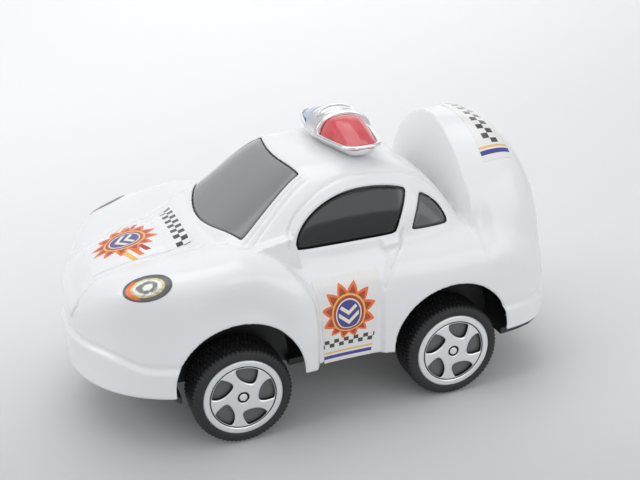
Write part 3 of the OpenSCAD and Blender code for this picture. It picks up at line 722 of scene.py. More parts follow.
@dataclass(frozen=True)
class Skin:
    """The moulded skin as a formula: a radius round the middle line at ridge height.

    Pairs hold a middle and a spread, a front and a rear value, or the two ends of a ramp.
    """

    shell_len: float = 148.0
    door_half_w: float = 37.6
    fender_swell: float = 3.0
    swell_spread: Pair = (22.0, 20.0)
    plan_power: Pair = (2.05, 3.5)
    ridge_z: float = 30.0
    ridge_h: float = 12.0
    belt_h: float = 24.0
    roof_h: float = 44.6
    roof_mid: float = 36.0
    roof_power: float = 2.2
    tail_h: float = 49.0
    cabin_half_w: float = 32.0
    cabin_len: float = 79.5
    cabin_from: float = 26.0
    cabin_power: float = 4.0
    screen_step: float = 3.4
    screen_slope: float = 0.71
    front_x: float = 31.0
    rear_x: float = -35.4
    nose_len: float = 31.0
    hood_len: float = 38.0
    tail_len: float = 24.0
    deck_power: Pair = (2.6, 2.0)
    side_power: float = 3.6
    nose_power: float = 1.6
    nose_power_at: Pair = (24.0, 22.0)
    hoop_len: float = 22.3
    hoop_front: float = 28.4
    hoop_rise: float = 5.6
    hoop_w: float = 0.93
    hoop_power: float = 2.5
    hoop_front_n: float = 1.9
    hoop_back_n: float = 2.85
    hoop_n_run: Pair = (3.0, 32.0)
    dent_d: float = 1.6
    dent_before: float = 1.9
    dent_long: float = 3.2
    dent_phi: Pair = (35.0, 9.0)
    end_blunt: float = 0.3
    merge: float = 2.4
    roof_soft: float = 3.0
    crown_h: float = 4.0
    crown_phi: Pair = (34.0, 10.0)
    crown_rear: Pair = (62.0, 40.0)
    crown_nose: float = 16.0
    valley_d: float = 1.6
    valley_phi: Pair = (57.0, 9.0)
    skirt_taper: float = 0.025
    skirt_phi: float = 30.0

    @property
    def nose_x(self) -> float:
        """Return the nose's place."""
        return self.shell_len / 2

    @property
    def tail_x(self) -> float:
        """Return the tail's place."""
        return -self.shell_len / 2

    @property
    def belt_z(self) -> float:
        """Return the belt's height above the ground."""
        return self.ridge_z + self.belt_h

    def cab(self, ahead: float) -> float:
        """Return a place measured forwards from the fastback's foot."""
        return self.tail_x + self.cabin_from + ahead

    @property
    def screen_foot(self) -> float:
        """Return the place of the windscreen's foot."""
        return self.cab(self.cabin_len)

    def nose_arc(self, x: Array, length: float, power: float) -> Array:
        """Return the closing curve of the nose."""
        return arc((x - self.nose_x + length) / (length + self.end_blunt), power)

    def tail_arc(self, x: Array, length: float, power: float) -> Array:
        """Return the closing curve of the tail."""
        return arc((self.tail_x + length - x) / (length + self.end_blunt), power)

    def plan_w(self, x: Array) -> Array:
        """Return the half width at the bumper ridge.

        Args:
            x: Places along the car.

        Returns:
            The half widths.
        """
        front, rear = self.swell_spread
        swell = bell(x, self.front_x, front) + bell(x, self.rear_x, rear)
        nose = self.nose_arc(x, self.nose_len, self.plan_power[0])
        tail = self.tail_arc(x, self.tail_len, self.plan_power[1])
        return (self.door_half_w + self.fender_swell * swell) * nose * tail

    def low_r(self, x: Array, phi: Array) -> Array:
        """Return the radius of the hood, belt and rear deck.

        Args:
            x: Places along the car.
            phi: Angles in radians, up to a quarter turn.

        Returns:
            The radii.
        """
        nose = self.nose_arc(x, self.hood_len, self.deck_power[0])
        deck = self.belt_h * nose * self.tail_arc(x, self.tail_len, self.deck_power[1])
        back, front = self.crown_rear
        degrees = np.degrees(phi)
        there = ramp(x, self.nose_x - back, self.nose_x - front)
        there = there * ramp(x, self.nose_x, self.nose_x - self.crown_nose)
        crown = self.crown_h * bell(degrees, *self.crown_phi)
        crown = crown - self.valley_d * bell(degrees, *self.valley_phi)
        power = self.side_power + self.nose_power * bell(self.nose_x - x, *self.nose_power_at)
        return oval(self.plan_w(x), deck, power, phi) + there * crown

    def cabin_r(self, x: Array, phi: Array) -> Array:
        """Return the radius of the cabin, 0 away from it.

        Args:
            x: Places along the car.
            phi: Angles in radians, up to a quarter turn.

        Returns:
            The radii.
        """
        foot, middle = self.cab(0), self.cab(self.roof_mid)
        back = self.roof_h * arc((middle - x) / (middle - foot), self.roof_power) + self.roof_soft / 8
        screen = self.belt_h + self.screen_step + (self.screen_foot - x) * self.screen_slope
        height = np.maximum(1, smaller(back, screen, self.roof_soft))
        there = (x <= self.screen_foot + 12) & (x >= foot)
        return np.where(there, oval(self.cabin_half_w, height, self.cabin_power, phi), 0)

    def hoop_r(self, x: Array, phi: Array) -> Array:
        """Return the radius of the tail hoop, 0 ahead of it.

        Args:
            x: Places along the car.
            phi: Angles in radians, up to a quarter turn.

        Returns:
            The radii.
        """
        front = self.tail_x + self.hoop_front + self.hoop_rise
        top = np.maximum(1, self.tail_h * self.tail_arc(x, self.hoop_len, self.hoop_power))
        rise = ramp(x, front, front - self.hoop_rise)
        fuller = ramp(x, front - self.hoop_n_run[0], front - self.hoop_n_run[1])
        power = self.hoop_front_n + (self.hoop_back_n - self.hoop_front_n) * fuller
        return np.where(x > front, 0, rise * oval(self.plan_w(x) * self.hoop_w, top, power, phi))

    def radius(self, x: Array, phi: Array) -> Array:
        """Return the skin's distance from the middle line.

        Args:
            x: Places along the car.
            phi: Angles in radians, from 0 to half a turn.

        Returns:
            The radii.
        """
        phi = np.minimum(phi, math.pi - phi)
        skin = larger(self.low_r(x, phi), self.cabin_r(x, phi), self.merge)
        skin = larger(skin, self.hoop_r(x, phi), self.merge) - self.merge / 10
        dent = bell(x, self.tail_x + self.hoop_front - self.dent_before, self.dent_long)
        return skin - self.dent_d * (dent * bell(np.degrees(phi), *self.dent_phi))

    def point(self, x: Array, phi: Array) -> Array:
        """Return skin points; phi runs in degrees from the left skirt over the roof to the right one.

        Args:
            x: Places along the car.
            phi: Angles, of the same shape.

        Returns:
            An array with the points along its last axis.
        """
        x, phi = np.broadcast_arrays(np.asarray(x, float), np.asarray(phi, float))
        fold = np.minimum(phi, 180 - phi)
        turn = np.radians(np.maximum(0, fold))
        below = np.maximum(0, -fold) / self.skirt_phi
        side = np.where(phi > 90, -1.0, 1.0)
        radius = self.radius(x, turn)
        y = side * radius * np.cos(turn) * (1 - self.skirt_taper * below)
        return np.stack([x, y, self.ridge_z + radius * np.sin(turn) - self.ridge_h * below], -1)


@dataclass(frozen=True)
class OuterSkin(Skin):
    """The skin with the front fenders' rear crests and the fairings at the screen pillars' feet."""

    crest_h: float = 3.2
    crest_edge: Pair = (-1.0, 1.8)
    crest_fade: Pair = (15.0, 4.0)
    crest_front: Pair = (46.0, 26.0)
    fender_at: Pair = (27.0, 33.6)
    fender_half: Pair = (19.6, 22.3)
    fairing_y: float = 33.8
    fairing_top: float = 59.4
    fairing_rear: float = 9.3
    fairing_foot: float = 46.0
    fairing_close: float = 0.1
    fairing_fall: float = 0.24
    fairing_rake: float = 0.14
    fairing_phi: Pair = (20.0, 26.0)
    fairing_end: float = 6.0
    fairing_edge: float = 0.25
    fairing_soft: Pair = (0.35, 0.3)

    def fairing_r(self, x: Array, phi: Array, plain: Array) -> Array:
        """Return how far the fairings stand out from a plain radius.

        Args:
            x: Places along the car.
            phi: Angles in radians, up to a quarter turn.
            plain: The radii without fairings.

        Returns:
            The distances.
        """
        ahead = x - self.fairing_rear
        face = (self.fairing_y - self.fairing_close * ahead) / np.maximum(np.cos(phi), 1e-3)
        top = (self.fairing_top - self.ridge_z - self.fairing_fall * ahead) / np.maximum(np.sin(phi), 1e-3)
        wedge = smaller(face, top, self.fairing_soft[0])
        height = self.ridge_z + wedge * np.sin(phi) - self.fairing_foot
        there = ramp(ahead - self.fairing_rake * height, -self.fairing_edge, self.fairing_edge)
        there = there * ramp(x, self.screen_foot, self.screen_foot - self.fairing_end)
        out = np.maximum(0, larger(plain, wedge, self.fairing_soft[1]) - plain)
        return there * out * ramp(np.degrees(phi), *self.fairing_phi)

    def radius(self, x: Array, phi: Array) -> Array:
        """Return the plain skin's radius with the crests and fairings.

        Args:
            x: Places along the car.
            phi: Angles in radians, from 0 to half a turn.

        Returns:
            The radii.
        """
        plain = super().radius(x, phi)
        phi = np.minimum(phi, math.pi - phi)
        long, high = self.fender_half
        behind = np.maximum(0, self.fender_at[0] - x) / long
        above = np.maximum(0, self.ridge_z + plain * np.sin(phi) - self.fender_at[1]) / high
        within = (1 - np.hypot(behind, above)) * high
        raised = ramp(within, *self.crest_edge) * ramp(within, *self.crest_fade)
        plain = plain + self.crest_h * raised * ramp(x, *self.crest_front)
        return plain + self.fairing_r(x, phi, plain)


@dataclass(frozen=True)
class Openings:
    """Cut-outs of the shell as distances: positive on the shell, negative in the opening."""

    skin: Skin
    arch_r: float = 18.5
    front_arch_z: float = 20.1
    rear_arch_z: float = 19.2
    pane_mid: float = 36.0
    pane_front: float = 22.5
    pane_rear: float = 26.0
    pane_h: float = 14.5
    pane_sill: float = -0.5
    post_foot: float = 25.0
    post_w: float = 4.6
    post_lean: float = 0.44
    screen_foot_half: float = 26.3
    screen_top_half: float = 19.6
    screen_edge: float = -0.5
    screen_foot_bow: float = 6.9
    screen_len: float = 25.0
    screen_top_bow: float = 2.6
    screen_steep: float = 1.2
    corner: float = 0.9
    far: float = 99.0

    def arches(self, p: Array) -> Array:
        """Return the distance to the nearer wheel arch.

        Args:
            p: Points along the last axis.

        Returns:
            The distances.
        """
        away = np.minimum(abs(p[..., 0] - self.skin.front_x), abs(p[..., 0] - self.skin.rear_x))
        above = np.maximum(0, p[..., 2] - np.where(p[..., 0] > 0, self.front_arch_z, self.rear_arch_z))
        return np.hypot(away, above) - self.arch_r

    def arch_line(self, p: Array) -> Array:
        """Return the distance to the arch over the side windows.

        Args:
            p: Points along the last axis.

        Returns:
            The distances.
        """
        dx = p[..., 0] - self.skin.cab(self.pane_mid)
        dz = p[..., 2] - self.skin.belt_z - self.pane_sill
        half = np.where(dx > 0, self.pane_front, self.pane_rear)
        size = np.hypot(dx / half, dz / self.pane_h)
        slope = np.hypot(dx / half**2, dz / self.pane_h**2)
        return (size - 1) * size / np.maximum(slope, 1e-6)

    def panes(self, p: Array) -> Array:
        """Return the distance to the side windows, seen from the side.

        Args:
            p: Points along the last axis.

        Returns:
            The distances.
        """
        up = p[..., 2] - self.skin.belt_z
        post = p[..., 0] - self.skin.cab(self.post_foot) + up * self.post_lean
        gap = (self.post_w / 2 - abs(post)) / math.hypot(1, self.post_lean)
        frame_line = larger(self.arch_line(p), self.pane_sill - up, self.corner)
        return larger(frame_line, gap, self.corner)

    def screen_side(self, p: Array) -> Array:
        """Return the distance to the windscreen's side edges, seen from above.

        Args:
            p: Points along the last axis.

        Returns:
            The distances.
        """
        foot_x = self.skin.screen_foot - self.screen_edge - self.screen_foot_bow
        run = self.screen_len + self.screen_top_bow - self.screen_foot_bow
        lean = (self.screen_foot_half - self.screen_top_half) / run
        edge = self.screen_foot_half + (p[..., 0] - foot_x) * lean
        return (abs(p[..., 1]) - edge) / math.hypot(1, lean)

    def screen(self, p: Array) -> Array:
        """Return the distance to the windscreen, seen from above.

        Args:
            p: Points along the last axis.

        Returns:
            The distances.
        """
        foot = self.skin.screen_foot - self.screen_edge
        x, y = p[..., 0], p[..., 1]
        low = x - foot + self.screen_foot_bow * (y / self.screen_foot_half) ** 2
        top = foot - self.screen_len - self.screen_top_bow * (y / self.screen_top_half) ** 2 - x
        ends = larger(low * self.screen_steep, top * self.screen_steep, self.corner)
        return larger(ends, self.screen_side(p), self.corner)

    def glazed(self, p: Array) -> Array:
        """Return the distance to the nearest window."""
        side_on = np.where(abs(p[..., 1]) > self.skin.cabin_half_w / 2, self.panes(p), self.far)
        return np.minimum(side_on, self.screen(p))


def line_distance(p: Array, line: Array) -> Array:
    """Return the distance of points from a chain of straight lines.

    Args:
        p: Points along the last axis.
        line: The chain's corners, one a row.

    Returns:
        The distances.
    """
    best = np.full(p.shape[:-1], np.inf)
    for a, b in zip(line[:-1], line[1:]):
        run = b - a
        share = np.clip(((p - a) @ run) / (run @ run), 0, 1)
        best = np.minimum(best, np.linalg.norm(p - a - share[..., None] * run, axis=-1))
    return best


def grid_normals(p: Array) -> Array:
    """Return unit normals of a grid of points, pointing away from the car's middle.

    Args:
        p: The grid, with its points along the last axis.

    Returns:
        The normals, in the same form.
    """
    normal = np.cross(np.gradient(p, axis=1), np.gradient(p, axis=0))
    normal /= np.maximum(np.linalg.norm(normal, axis=-1, keepdims=True), 1e-12)
    outward = (p - [0, 0, Skin.ridge_z]) * [0, 1, 1]
    return normal * (1 if (normal * outward).sum() > 0 else -1)


@dataclass
class Piece:
    """A mesh in the making: points in millimetres, faces and optional print coordinates."""

    name: str
    points: Array
    faces: list | Array
    prints: Array | None = None

    def build(
        self,
        body: Body,
        slot: Slot,
        finish: Material,
        replaces: tuple[str, ...],
        wall: float = 0.0,
        crease_deg: float = 40.0,
    ) -> None:
        """Make the object, dress it and hang it on its body.

        Args:
            body: The body that it rides on.
            slot: The record's material slot, not used here.
            finish: Its material.
            replaces: Frame nodes that it stands for.
            wall: Thickness added inwards, 0 for none.
            crease_deg: Angle above which an edge stays sharp.
        """
        mesh = bpy.data.meshes.new(self.name)
        faces = np.asarray(self.faces, dtype=object).tolist()
        mesh.from_pydata((self.points.reshape(-1, 3) * MM).tolist(), [], faces)
        if self.prints is not None:
            layer = mesh.uv_layers.new(name="print")
            corner = np.zeros(len(mesh.loops), np.int32)
            mesh.loops.foreach_get("vertex_index", corner)
            layer.data.foreach_set("uv", self.prints.reshape(-1, 2)[corner].astype(np.float32).ravel())
        mesh.validate()
        thing = bpy.data.objects.new(self.name, mesh)
        bpy.context.scene.collection.objects.link(thing)
        if wall:
            solid = thing.modifiers.new("wall", "SOLIDIFY")
            solid.thickness = wall * MM
            solid.offset = -1
            graph = bpy.context.evaluated_depsgraph_get()
            thing.data = bpy.data.meshes.new_from_object(thing.evaluated_get(graph))
            thing.modifiers.clear()
        thing.data.shade_smooth()
        thing.data.set_sharp_from_angle(angle=math.radians(crease_deg))
        thing.data.materials.clear()
        thing.data.materials.append(finish)
        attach(thing, body.value)
        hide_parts(*replaces)
        LOG.info("%s: %d faces on %s", self.name, len(thing.data.polygons), body.value)


def sheet_faces(rows: int, columns: int, closed: bool = False) -> Array:
    """Return the quads of a grid, row by row.

    Args:
        rows: The grid's rows.
        columns: Its columns.
        closed: True joins the last column to the first.

    Returns:
        The quads.
    """
    count = columns if closed else columns - 1
    i, k = np.meshgrid(np.arange(rows - 1), np.arange(count), indexing="ij")
    a, b = i * columns + k, i * columns + (k + 1) % columns
    return np.stack([a, b, b + columns, a + columns], -1).reshape(-1, 4)


def halves(quads: Array) -> Array:
    """Return two triangles for each quad."""
    return np.concatenate([quads[:, [0, 1, 2]], quads[:, [0, 2, 3]]])


def clip_mesh(points: Array, quads: Array, keep: Array) -> tuple[Array, Array]:
    """Cut a mesh along the line where a field changes sign.

    Args:
        points: The mesh's points.
        quads: Its faces.
        keep: The field at each point, positive where the mesh stays.

    Returns:
        The new points and triangles.
    """
    faces = halves(quads)
    inside = keep[faces] > 0
    count = inside.sum(1)
    cut: list[Array] = []
    for wanted in (1, 2):
        flags = inside[count == wanted]
        lone = np.argmax(flags if wanted == 1 else ~flags, axis=1)
        cut.append(np.take_along_axis(faces[count == wanted], (lone[:, None] + np.arange(3)) % 3, 1))
    edges = np.concatenate([tri[:, pair] for tri in cut for pair in ([0, 1], [0, 2])])
    unique, index = np.unique(np.sort(edges, axis=1), axis=0, return_inverse=True)
    before, after = keep[unique[:, 0]], keep[unique[:, 1]]
    share = (before / (before - after))[:, None]
    fresh = points[unique[:, 0]] * (1 - share) + points[unique[:, 1]] * share
    one, two = cut
    splits = np.cumsum([len(one), len(one), len(two)])
    one_a, one_b, two_a, two_b = np.split(index.ravel() + len(points), splits)
    tris = np.concatenate([
        faces[count == 3],
        np.stack([one[:, 0], one_a, one_b], 1),
        np.stack([two_a, two[:, 1], two[:, 2]], 1),
        np.stack([two_a, two[:, 2], two_b], 1),
    ])
    used, compact = np.unique(tris, return_inverse=True)
    return np.concatenate([points, fresh])[used], compact.reshape(-1, 3)


def welded(points: Array, faces: Array) -> tuple[Array, Array]:
    """Join points that lie on each other and drop faces that close up.

    Args:
        points: The mesh's points.
        faces: Its triangles.

    Returns:
        The fewer points and triangles.
    """
    _, first, index = np.unique(np.round(points, 4), axis=0, return_index=True, return_inverse=True)
    tris = index.ravel()[faces]
    proper = (tris != np.roll(tris, 1, axis=1)).all(1)
    return points[first], tris[proper]


@dataclass
class BodyShell:
    """The one-piece white shell with its seams, bumpers, mirror fairings and door handles.

    Pairs hold a place along the car and a height, or the two ends of a ramp.
    """

    skin: Skin
    openings: Openings
    wall: float = 1.2
    lip: float = 0.6
    crease_deg: float = 60.0
    end_rings: int = 56
    middle_rings: int = 260
    skirt_points: int = 22
    over_points: int = 321
    seam: float = 0.55
    seam_half: float = 0.36
    arch_seam: float = 3.0
    arch_seam_y: Pair = (18.0, 21.0)
    arch_seam_up: Pair = (0.5, 2.0)
    pillar_seams: Pair = (1.4, 3.0)
    pillar_rear: Pair = (2.0, 5.0)
    pillar_front: Pair = (27.0, 23.0)
    pillar_y: Pair = (17.0, 18.5)
    bumper_step: float = 0.75
    bumper_edge: Pair = (1.1, -0.1)
    bumper_groove: float = 0.25
    bumper_groove_at: Pair = (1.6, 0.8)
    bumper_run: float = 12.0
    tail_drop: float = 5.0
    nose_drop: float = 3.6
    nose_drop_x: Pair = (68.0, 55.0)
    sill_lift: float = 1.5
    sill_from: float = 16.0
    sill_run: float = 26.0
    door_recess: float = 0.9
    door_front: float = 6.2
    door_rear: float = -13.2
    door_front_edge: float = 1.1
    door_rear_edge: Pair = (-0.8, 1.0)
    door_bend_z: float = 36.0
    door_bend: Pair = (0.04, -0.028)
    door_fade: Pair = (52.0, 46.0)
    hood_line: tuple[Pair, ...] = (
        (73.2, 30.0), (71.5, 38.0), (68.5, 47.0), (63.0, 54.0), (54.0, 56.0), (45.0, 54.5), (36.0, 51.5),
        (29.0, 48.0),
    )
    door_line: tuple[Pair, ...] = (
        (-22.6, 54.6), (-21.6, 52.2), (-20.6, 49.6), (-16.8, 45.6), (-14.0, 40.0),
    )
    handle_at: Pair = (-18.3, 51.5)
    handle_half: Pair = (2.3, 0.75)
    handle_rise: float = 0.75
    handle_edge: Pair = (0.55, 0.0)
    handle_moat: float = 0.35
    handle_moat_at: Pair = (1.0, 0.45)
    handle_y: Pair = (30.0, 33.0)
    handle_slant: float = 0.12

    def stations(self) -> Array:
        """Return the places of the rings along the car, closest at the ends.

        Returns:
            The places, from the tail to the nose.
        """
        skin = self.skin
        quarter = np.linspace(0, math.pi / 2, self.end_rings)
        hoop, nose = skin.tail_x + skin.hoop_len, skin.nose_x - skin.nose_len
        tail = skin.tail_x + skin.hoop_len * (1 - np.cos(quarter[:-1]))
        middle = np.linspace(hoop, nose, self.middle_rings)[:-1]
        return np.concatenate([tail, middle, nose + skin.nose_len * np.sin(quarter)])

    def angles(self) -> Array:
        """Return the angles round a ring.

        Returns:
            The angles in degrees, from the left skirt to the right one.
        """
        skirt = np.linspace(-self.skin.skirt_phi, 0, self.skirt_points)[:-1]
        over = np.linspace(0, 180, self.over_points)
        return np.concatenate([skirt, over, 180 - skirt[::-1]])

    def side_line(self, corners: tuple[Pair, ...]) -> Array:
        """Return a chain on the left skin.

        Args:
            corners: Places along the car and heights.

        Returns:
            The chain's points, one a row.
        """
        phi = np.linspace(-self.skin.skirt_phi, 88, 600)
        line = []
        for place, height in corners:
            ring = self.skin.point(np.full_like(phi, place), phi)
            line.append(ring[np.argmin(abs(ring[:, 2] - height))])
        return np.array(line)

    def seams(self, p: Array) -> Array:
        """Return the depth of the scribed lines.

        Args:
            p: Points along the last axis, mirrored to the left side.

        Returns:
            The depths.
        """
        half = self.seam_half
        hood = np.array([self.skin.point(x, phi) for x, phi in self.hood_line])
        parts = [np.linspace(a, b, 5)[:-1] for a, b in zip(hood[:-1], hood[1:])]
        depth = bell(line_distance(p, np.concatenate([*parts, hood[-1:]])), 0, half)
        depth = np.maximum(depth, bell(line_distance(p, self.side_line(self.door_line)), 0, half))
        side_on = ramp(p[..., 1], *self.arch_seam_y) * ramp(p[..., 2] - self.skin.belt_z, *self.arch_seam_up)
        depth = np.maximum(depth, bell(self.openings.arch_line(p), self.arch_seam, half) * side_on)
        on_pillar = ramp(p[..., 0], *self.pillar_rear) * ramp(p[..., 0], *self.pillar_front)
        on_pillar = on_pillar * ramp(p[..., 1], *self.pillar_y)
        beside = self.openings.screen_side(p)
        pillar = np.maximum(*(bell(beside, off, half) for off in self.pillar_seams))
        return self.seam * np.maximum(depth, pillar * on_pillar)

    def swell(self, p: Array) -> Array:
        """Return how far the bumpers, doors and handles stand out from the plain skin.

        Args:
            p: Points along the last axis, mirrored to the left side.

        Returns:
            The distances.
        """
        skin, x, z = self.skin, p[..., 0], p[..., 2]
        drop = np.where(x < 0, self.tail_drop, self.nose_drop * ramp(x, *self.nose_drop_x))
        above = z - skin.ridge_z + drop
        front = ramp(x, skin.front_x, skin.front_x + self.bumper_run)
        rear = ramp(x, skin.rear_x, skin.rear_x - self.bumper_run)
        lip = self.bumper_step * ramp(above, *self.bumper_edge)
        lip = lip - self.bumper_groove * bell(above, *self.bumper_groove_at)
        bend = np.maximum(0, z - self.door_bend_z) ** 2
        fore, aft = self.door_front + self.door_bend[0] * bend, self.door_rear + self.door_bend[1] * bend
        door = ramp(x, fore, fore - self.door_front_edge) * ramp(z, *self.door_fade)
        door = door * ramp(x, *(aft + edge for edge in self.door_rear_edge))
        dx, dz = x - self.handle_at[0], z - self.handle_at[1]
        past_x = np.maximum(0, abs(dx) - self.handle_half[0])
        past_z = np.maximum(0, abs(dz + self.handle_slant * dx) - self.handle_half[1])
        reach = np.hypot(past_x, past_z)
        grip = self.handle_rise * ramp(reach, *self.handle_edge)
        grip = grip - self.handle_moat * bell(reach, *self.handle_moat_at)
        out = lip * np.where(x > 0, front, rear) - self.door_recess * door
        return out + grip * ramp(abs(p[..., 1]), *self.handle_y)

    def dressed(self, x: Array, phi: Array, out: float = 0.0) -> Array:
        """Return a grid of skin points with every moulded detail, moved outwards.

        Args:
            x: Places along the car, one a row, or a full grid of them.
            phi: Angles, one a column, or a full grid of them.
            out: Distance added along the normal.

        Returns:
            The grid of points.
        """
        base = self.skin.point(x[:, None] if x.ndim == 1 else x, phi)
        twin = np.stack([base[..., 0], abs(base[..., 1]), base[..., 2]], -1)
        rise = self.swell(twin) - self.seams(twin) + out
        return base + grid_normals(base) * rise[..., None]

    def build(self, finish: Material) -> None:
        """Build the shell, open at the windows and arches and trimmed at the sill.

        Args:
            finish: The shell's plastic.
        """
        x, phi = self.stations(), self.angles()
        base = self.skin.point(x[:, None], phi)
        keep = np.minimum(self.openings.arches(base), self.openings.glazed(base))
        along = np.clip((x + self.sill_from) / self.sill_run, 0, 1)
        trim = np.where(x < self.skin.front_x, self.sill_lift * along, 0) - 0.05
        keep = np.minimum(keep, base[..., 2] - base[:, :1, 2] - trim[:, None])
        inward = np.clip(1 - keep / self.lip, 0, 1)
        fall = self.lip * (1 - np.sqrt(np.maximum(0, 1 - inward**2)))
        grid = self.dressed(x, phi) - grid_normals(base) * fall[..., None]
        ends = [np.array([1, share, 1]) for share in (0.0, 0.5)]
        grid = np.concatenate([*(grid[:1] * e for e in ends), grid, *(grid[-1:] * e for e in ends[::-1])])
        keep = np.pad(keep, ((2, 2), (0, 0)), mode="edge")
        points, faces = welded(*clip_mesh(grid.reshape(-1, 3), sheet_faces(*keep.shape), keep.ravel()))
        Piece("body_shell_skin", points, faces).build(
            Body.CAR, Slot.SHELL, finish, ("body_shell",), wall=self.wall, crease_deg=self.crease_deg
        )


@dataclass
class Glazing:
    """The smoked moulding behind the shell, with pads that fill the windows."""

    skin: Skin
    openings: Openings
    behind: float = 1.55
    proud: float = 0.55
    gap: float = 0.14
    pad_edge: float = 0.5
    wall: float = 0.9
    from_cab: float = 8.6
    past_screen: float = 2.0
    from_phi: float = 33.5
    rows: int = 236
    columns: int = 240
    crease_deg: float = 70.0

    def build(self, finish: Material) -> None:
        """Build the window moulding.

        Args:
            finish: The smoked plastic.
        """
        x = np.linspace(self.skin.cab(self.from_cab), self.skin.screen_foot + self.past_screen, self.rows)
        phi = np.linspace(self.from_phi, 180 - self.from_phi, self.columns)
        base = self.skin.point(x[:, None], phi)
        inside = -self.openings.glazed(base)
        filled = ramp(inside, self.gap, self.gap + self.pad_edge)
        inset = self.behind - (self.behind - self.proud) * filled
        grid = base - grid_normals(base) * inset[..., None]
        Piece("window_moulding", grid, sheet_faces(*inset.shape)).build(
            Body.CAR, Slot.WINDOW, finish, ("window_insert",), wall=self.wall, crease_deg=self.crease_deg
        )


@dataclass
class LightBar:
    """The roof light bar: dish, two lenses and the bridge between them."""

    skin: Skin
    ahead: float = 33.2
    length: float = 45.0
    depth: float = 18.2
    taper: float = 0.22
    taper_from: float = 6.0
    corner_cut: float = 1.6
    outline_soft: tuple[float, float, float] = (0.3, 0.6, 0.4)
    stand: float = 1.2
    seat: float = 1.35
    dish_levels: tuple[Pair, ...] = (
        (-5.0, -1.6), (-4.0, 0.1), (-2.6, 0.3), (-1.9, 0.7), (-1.3, 1.6), (-0.85, 2.4), (-0.9, 2.5),
        (-1.6, 2.6), (-1.6, 2.8), (-0.3, 2.9), (0.0, 3.05), (0.1, 3.4), (0.0, 3.75), (-0.3, 3.95),
        (-0.65, 3.9), (-0.9, 3.65), (-1.0, 2.9), (-1.7, 2.85), (-4.0, 2.6), (-7.4, 2.6),
    )
    lens_h: float = 6.1
    lens_shoulder: Pair = (1.15, 2.1)
    lens_soft: Pair = (0.12, 0.25)
    lens_inset: Pair = (0.95, 1.5)
    lens_gap: float = 0.3
    lens_shares: tuple[float, ...] = (0.1, 0.2, 0.3, 0.4, 0.5, 0.6, 0.7, 0.8, 0.88, 0.94, 0.98, 1.0)
    lens_fall: float = 0.8
    lens_fall_from: float = 0.12
    lens_fall_power: float = 1.3
    lens_chamfer: float = 13.0
    lens_chamfer_from: float = 0.9
    lens_tip: tuple[float, float, float] = (0.05, 2.2, 0.12)
    bridge_h: float = 7.1
    bridge_half: float = 4.9
    bridge_over: float = 0.05
    bridge_power: float = 2.15
    rim_shares: tuple[float, ...] = (-1, -1, -0.985, -0.95, -0.9, -0.86, -0.84, -0.8, -0.78)
    rim_drops: tuple[float, ...] = (-1.1, -0.5, -0.12, 0, 0, -0.05, -0.3, -0.3, -0.05)
    crown_share: float = 0.74
    crown_rings: int = 41
    recess_size: Pair = (0.66, 0.58)
    recess_d: float = 0.5
    recess_edge: Pair = (1.0, 0.86)
    recess_rim: float = 0.22
    recess_rim_at: Pair = (1.06, 0.07)
    recess_above: float = 0.6

    @property
    def x(self) -> float:
        """Return the bar's place along the car."""
        return self.skin.cab(self.ahead)

    @property
    def roof_z(self) -> float:
        """Return the roof's height under the bar."""
        return float(self.skin.point(self.x, 90.0)[2])

    def outline(self, grow: float, count: int = 96) -> Array:
        """Return the dish's chamfered outline.

        Args:
            grow: Distance that it is grown outwards.
            count: The number of its points.

        Returns:
            Points in x and y.
        """
        angle = np.linspace(0, math.tau, count, endpoint=False)
        deep, long = self.depth / 2 + grow, self.length / 2 + grow
        across, along = abs(np.cos(angle)), abs(np.sin(angle))
        wide, end = deep / np.maximum(across, 1e-9), long / np.maximum(along, 1e-9)
        slant = (deep + self.taper * (self.taper_from + grow)) / (across + self.taper * along)
        tip = deep - self.taper * (long - self.taper_from)
        corner = (tip + long - self.corner_cut) / (across + along)
        long_soft, end_soft, soft = self.outline_soft
        radius = smaller(smaller(wide, slant, long_soft), smaller(end, corner, end_soft), soft)
        return np.stack([radius * np.cos(angle), radius * np.sin(angle)], 1)

    def loft(self, rings: list[Array], closed: bool) -> tuple[Array, list]:
        """Join rings of points into one mesh with a cap at each end.

        Args:
            rings: The rings, of the same number of points.
            closed: True for full rings, False for arches that get a floor.

        Returns:
            The points and the faces.
        """
        rows, count = len(rings), len(rings[0])
        faces = sheet_faces(rows, count, closed).tolist()
        faces.append(list(range(count))[::-1])
        faces.append(list(range((rows - 1) * count, rows * count)))
        if not closed:
            for first in range(0, (rows - 1) * count, count):
                faces.append([first, first + count, first + 2 * count - 1, first + count - 1])
        return np.concatenate(rings), faces

    def arch(self, flat: Array, y: float) -> Array:
        """Return a section in x and z as points at a place across the car, on the dish's seat."""
        z = flat[:, 1] + (self.roof_z + self.stand + self.seat)
        return np.column_stack([flat[:, 0] + self.x, np.full(len(flat), y), z])

    def dish(self, finish: Material) -> None:
        """Build the dish with its rim, drawn-in underside and a foot that follows the roof.

        Args:
            finish: The bright plating.
        """
        roof_z = self.roof_z
        rings = []
        for grow, up in self.dish_levels:
            flat = self.outline(grow)
            level = np.full(len(flat), roof_z + up)
            rings.append(np.column_stack([flat[:, 0] + self.x, flat[:, 1], level]))
        foot, above = rings[:2]
        turn = np.degrees(np.arctan2(foot[:, 2] - self.skin.ridge_z, foot[:, 1]))
        foot[:, 2] = np.minimum(self.skin.point(foot[:, 0], turn)[:, 2] + 0.05, roof_z)
        above[:, 2] = np.maximum(above[:, 2], foot[:, 2] + 0.1)
        Piece("lightbar_dish", *self.loft(rings, True)).build(
            Body.CAR, Slot.CHROME, finish, ("lightbar_tray",), crease_deg=50.0
        )

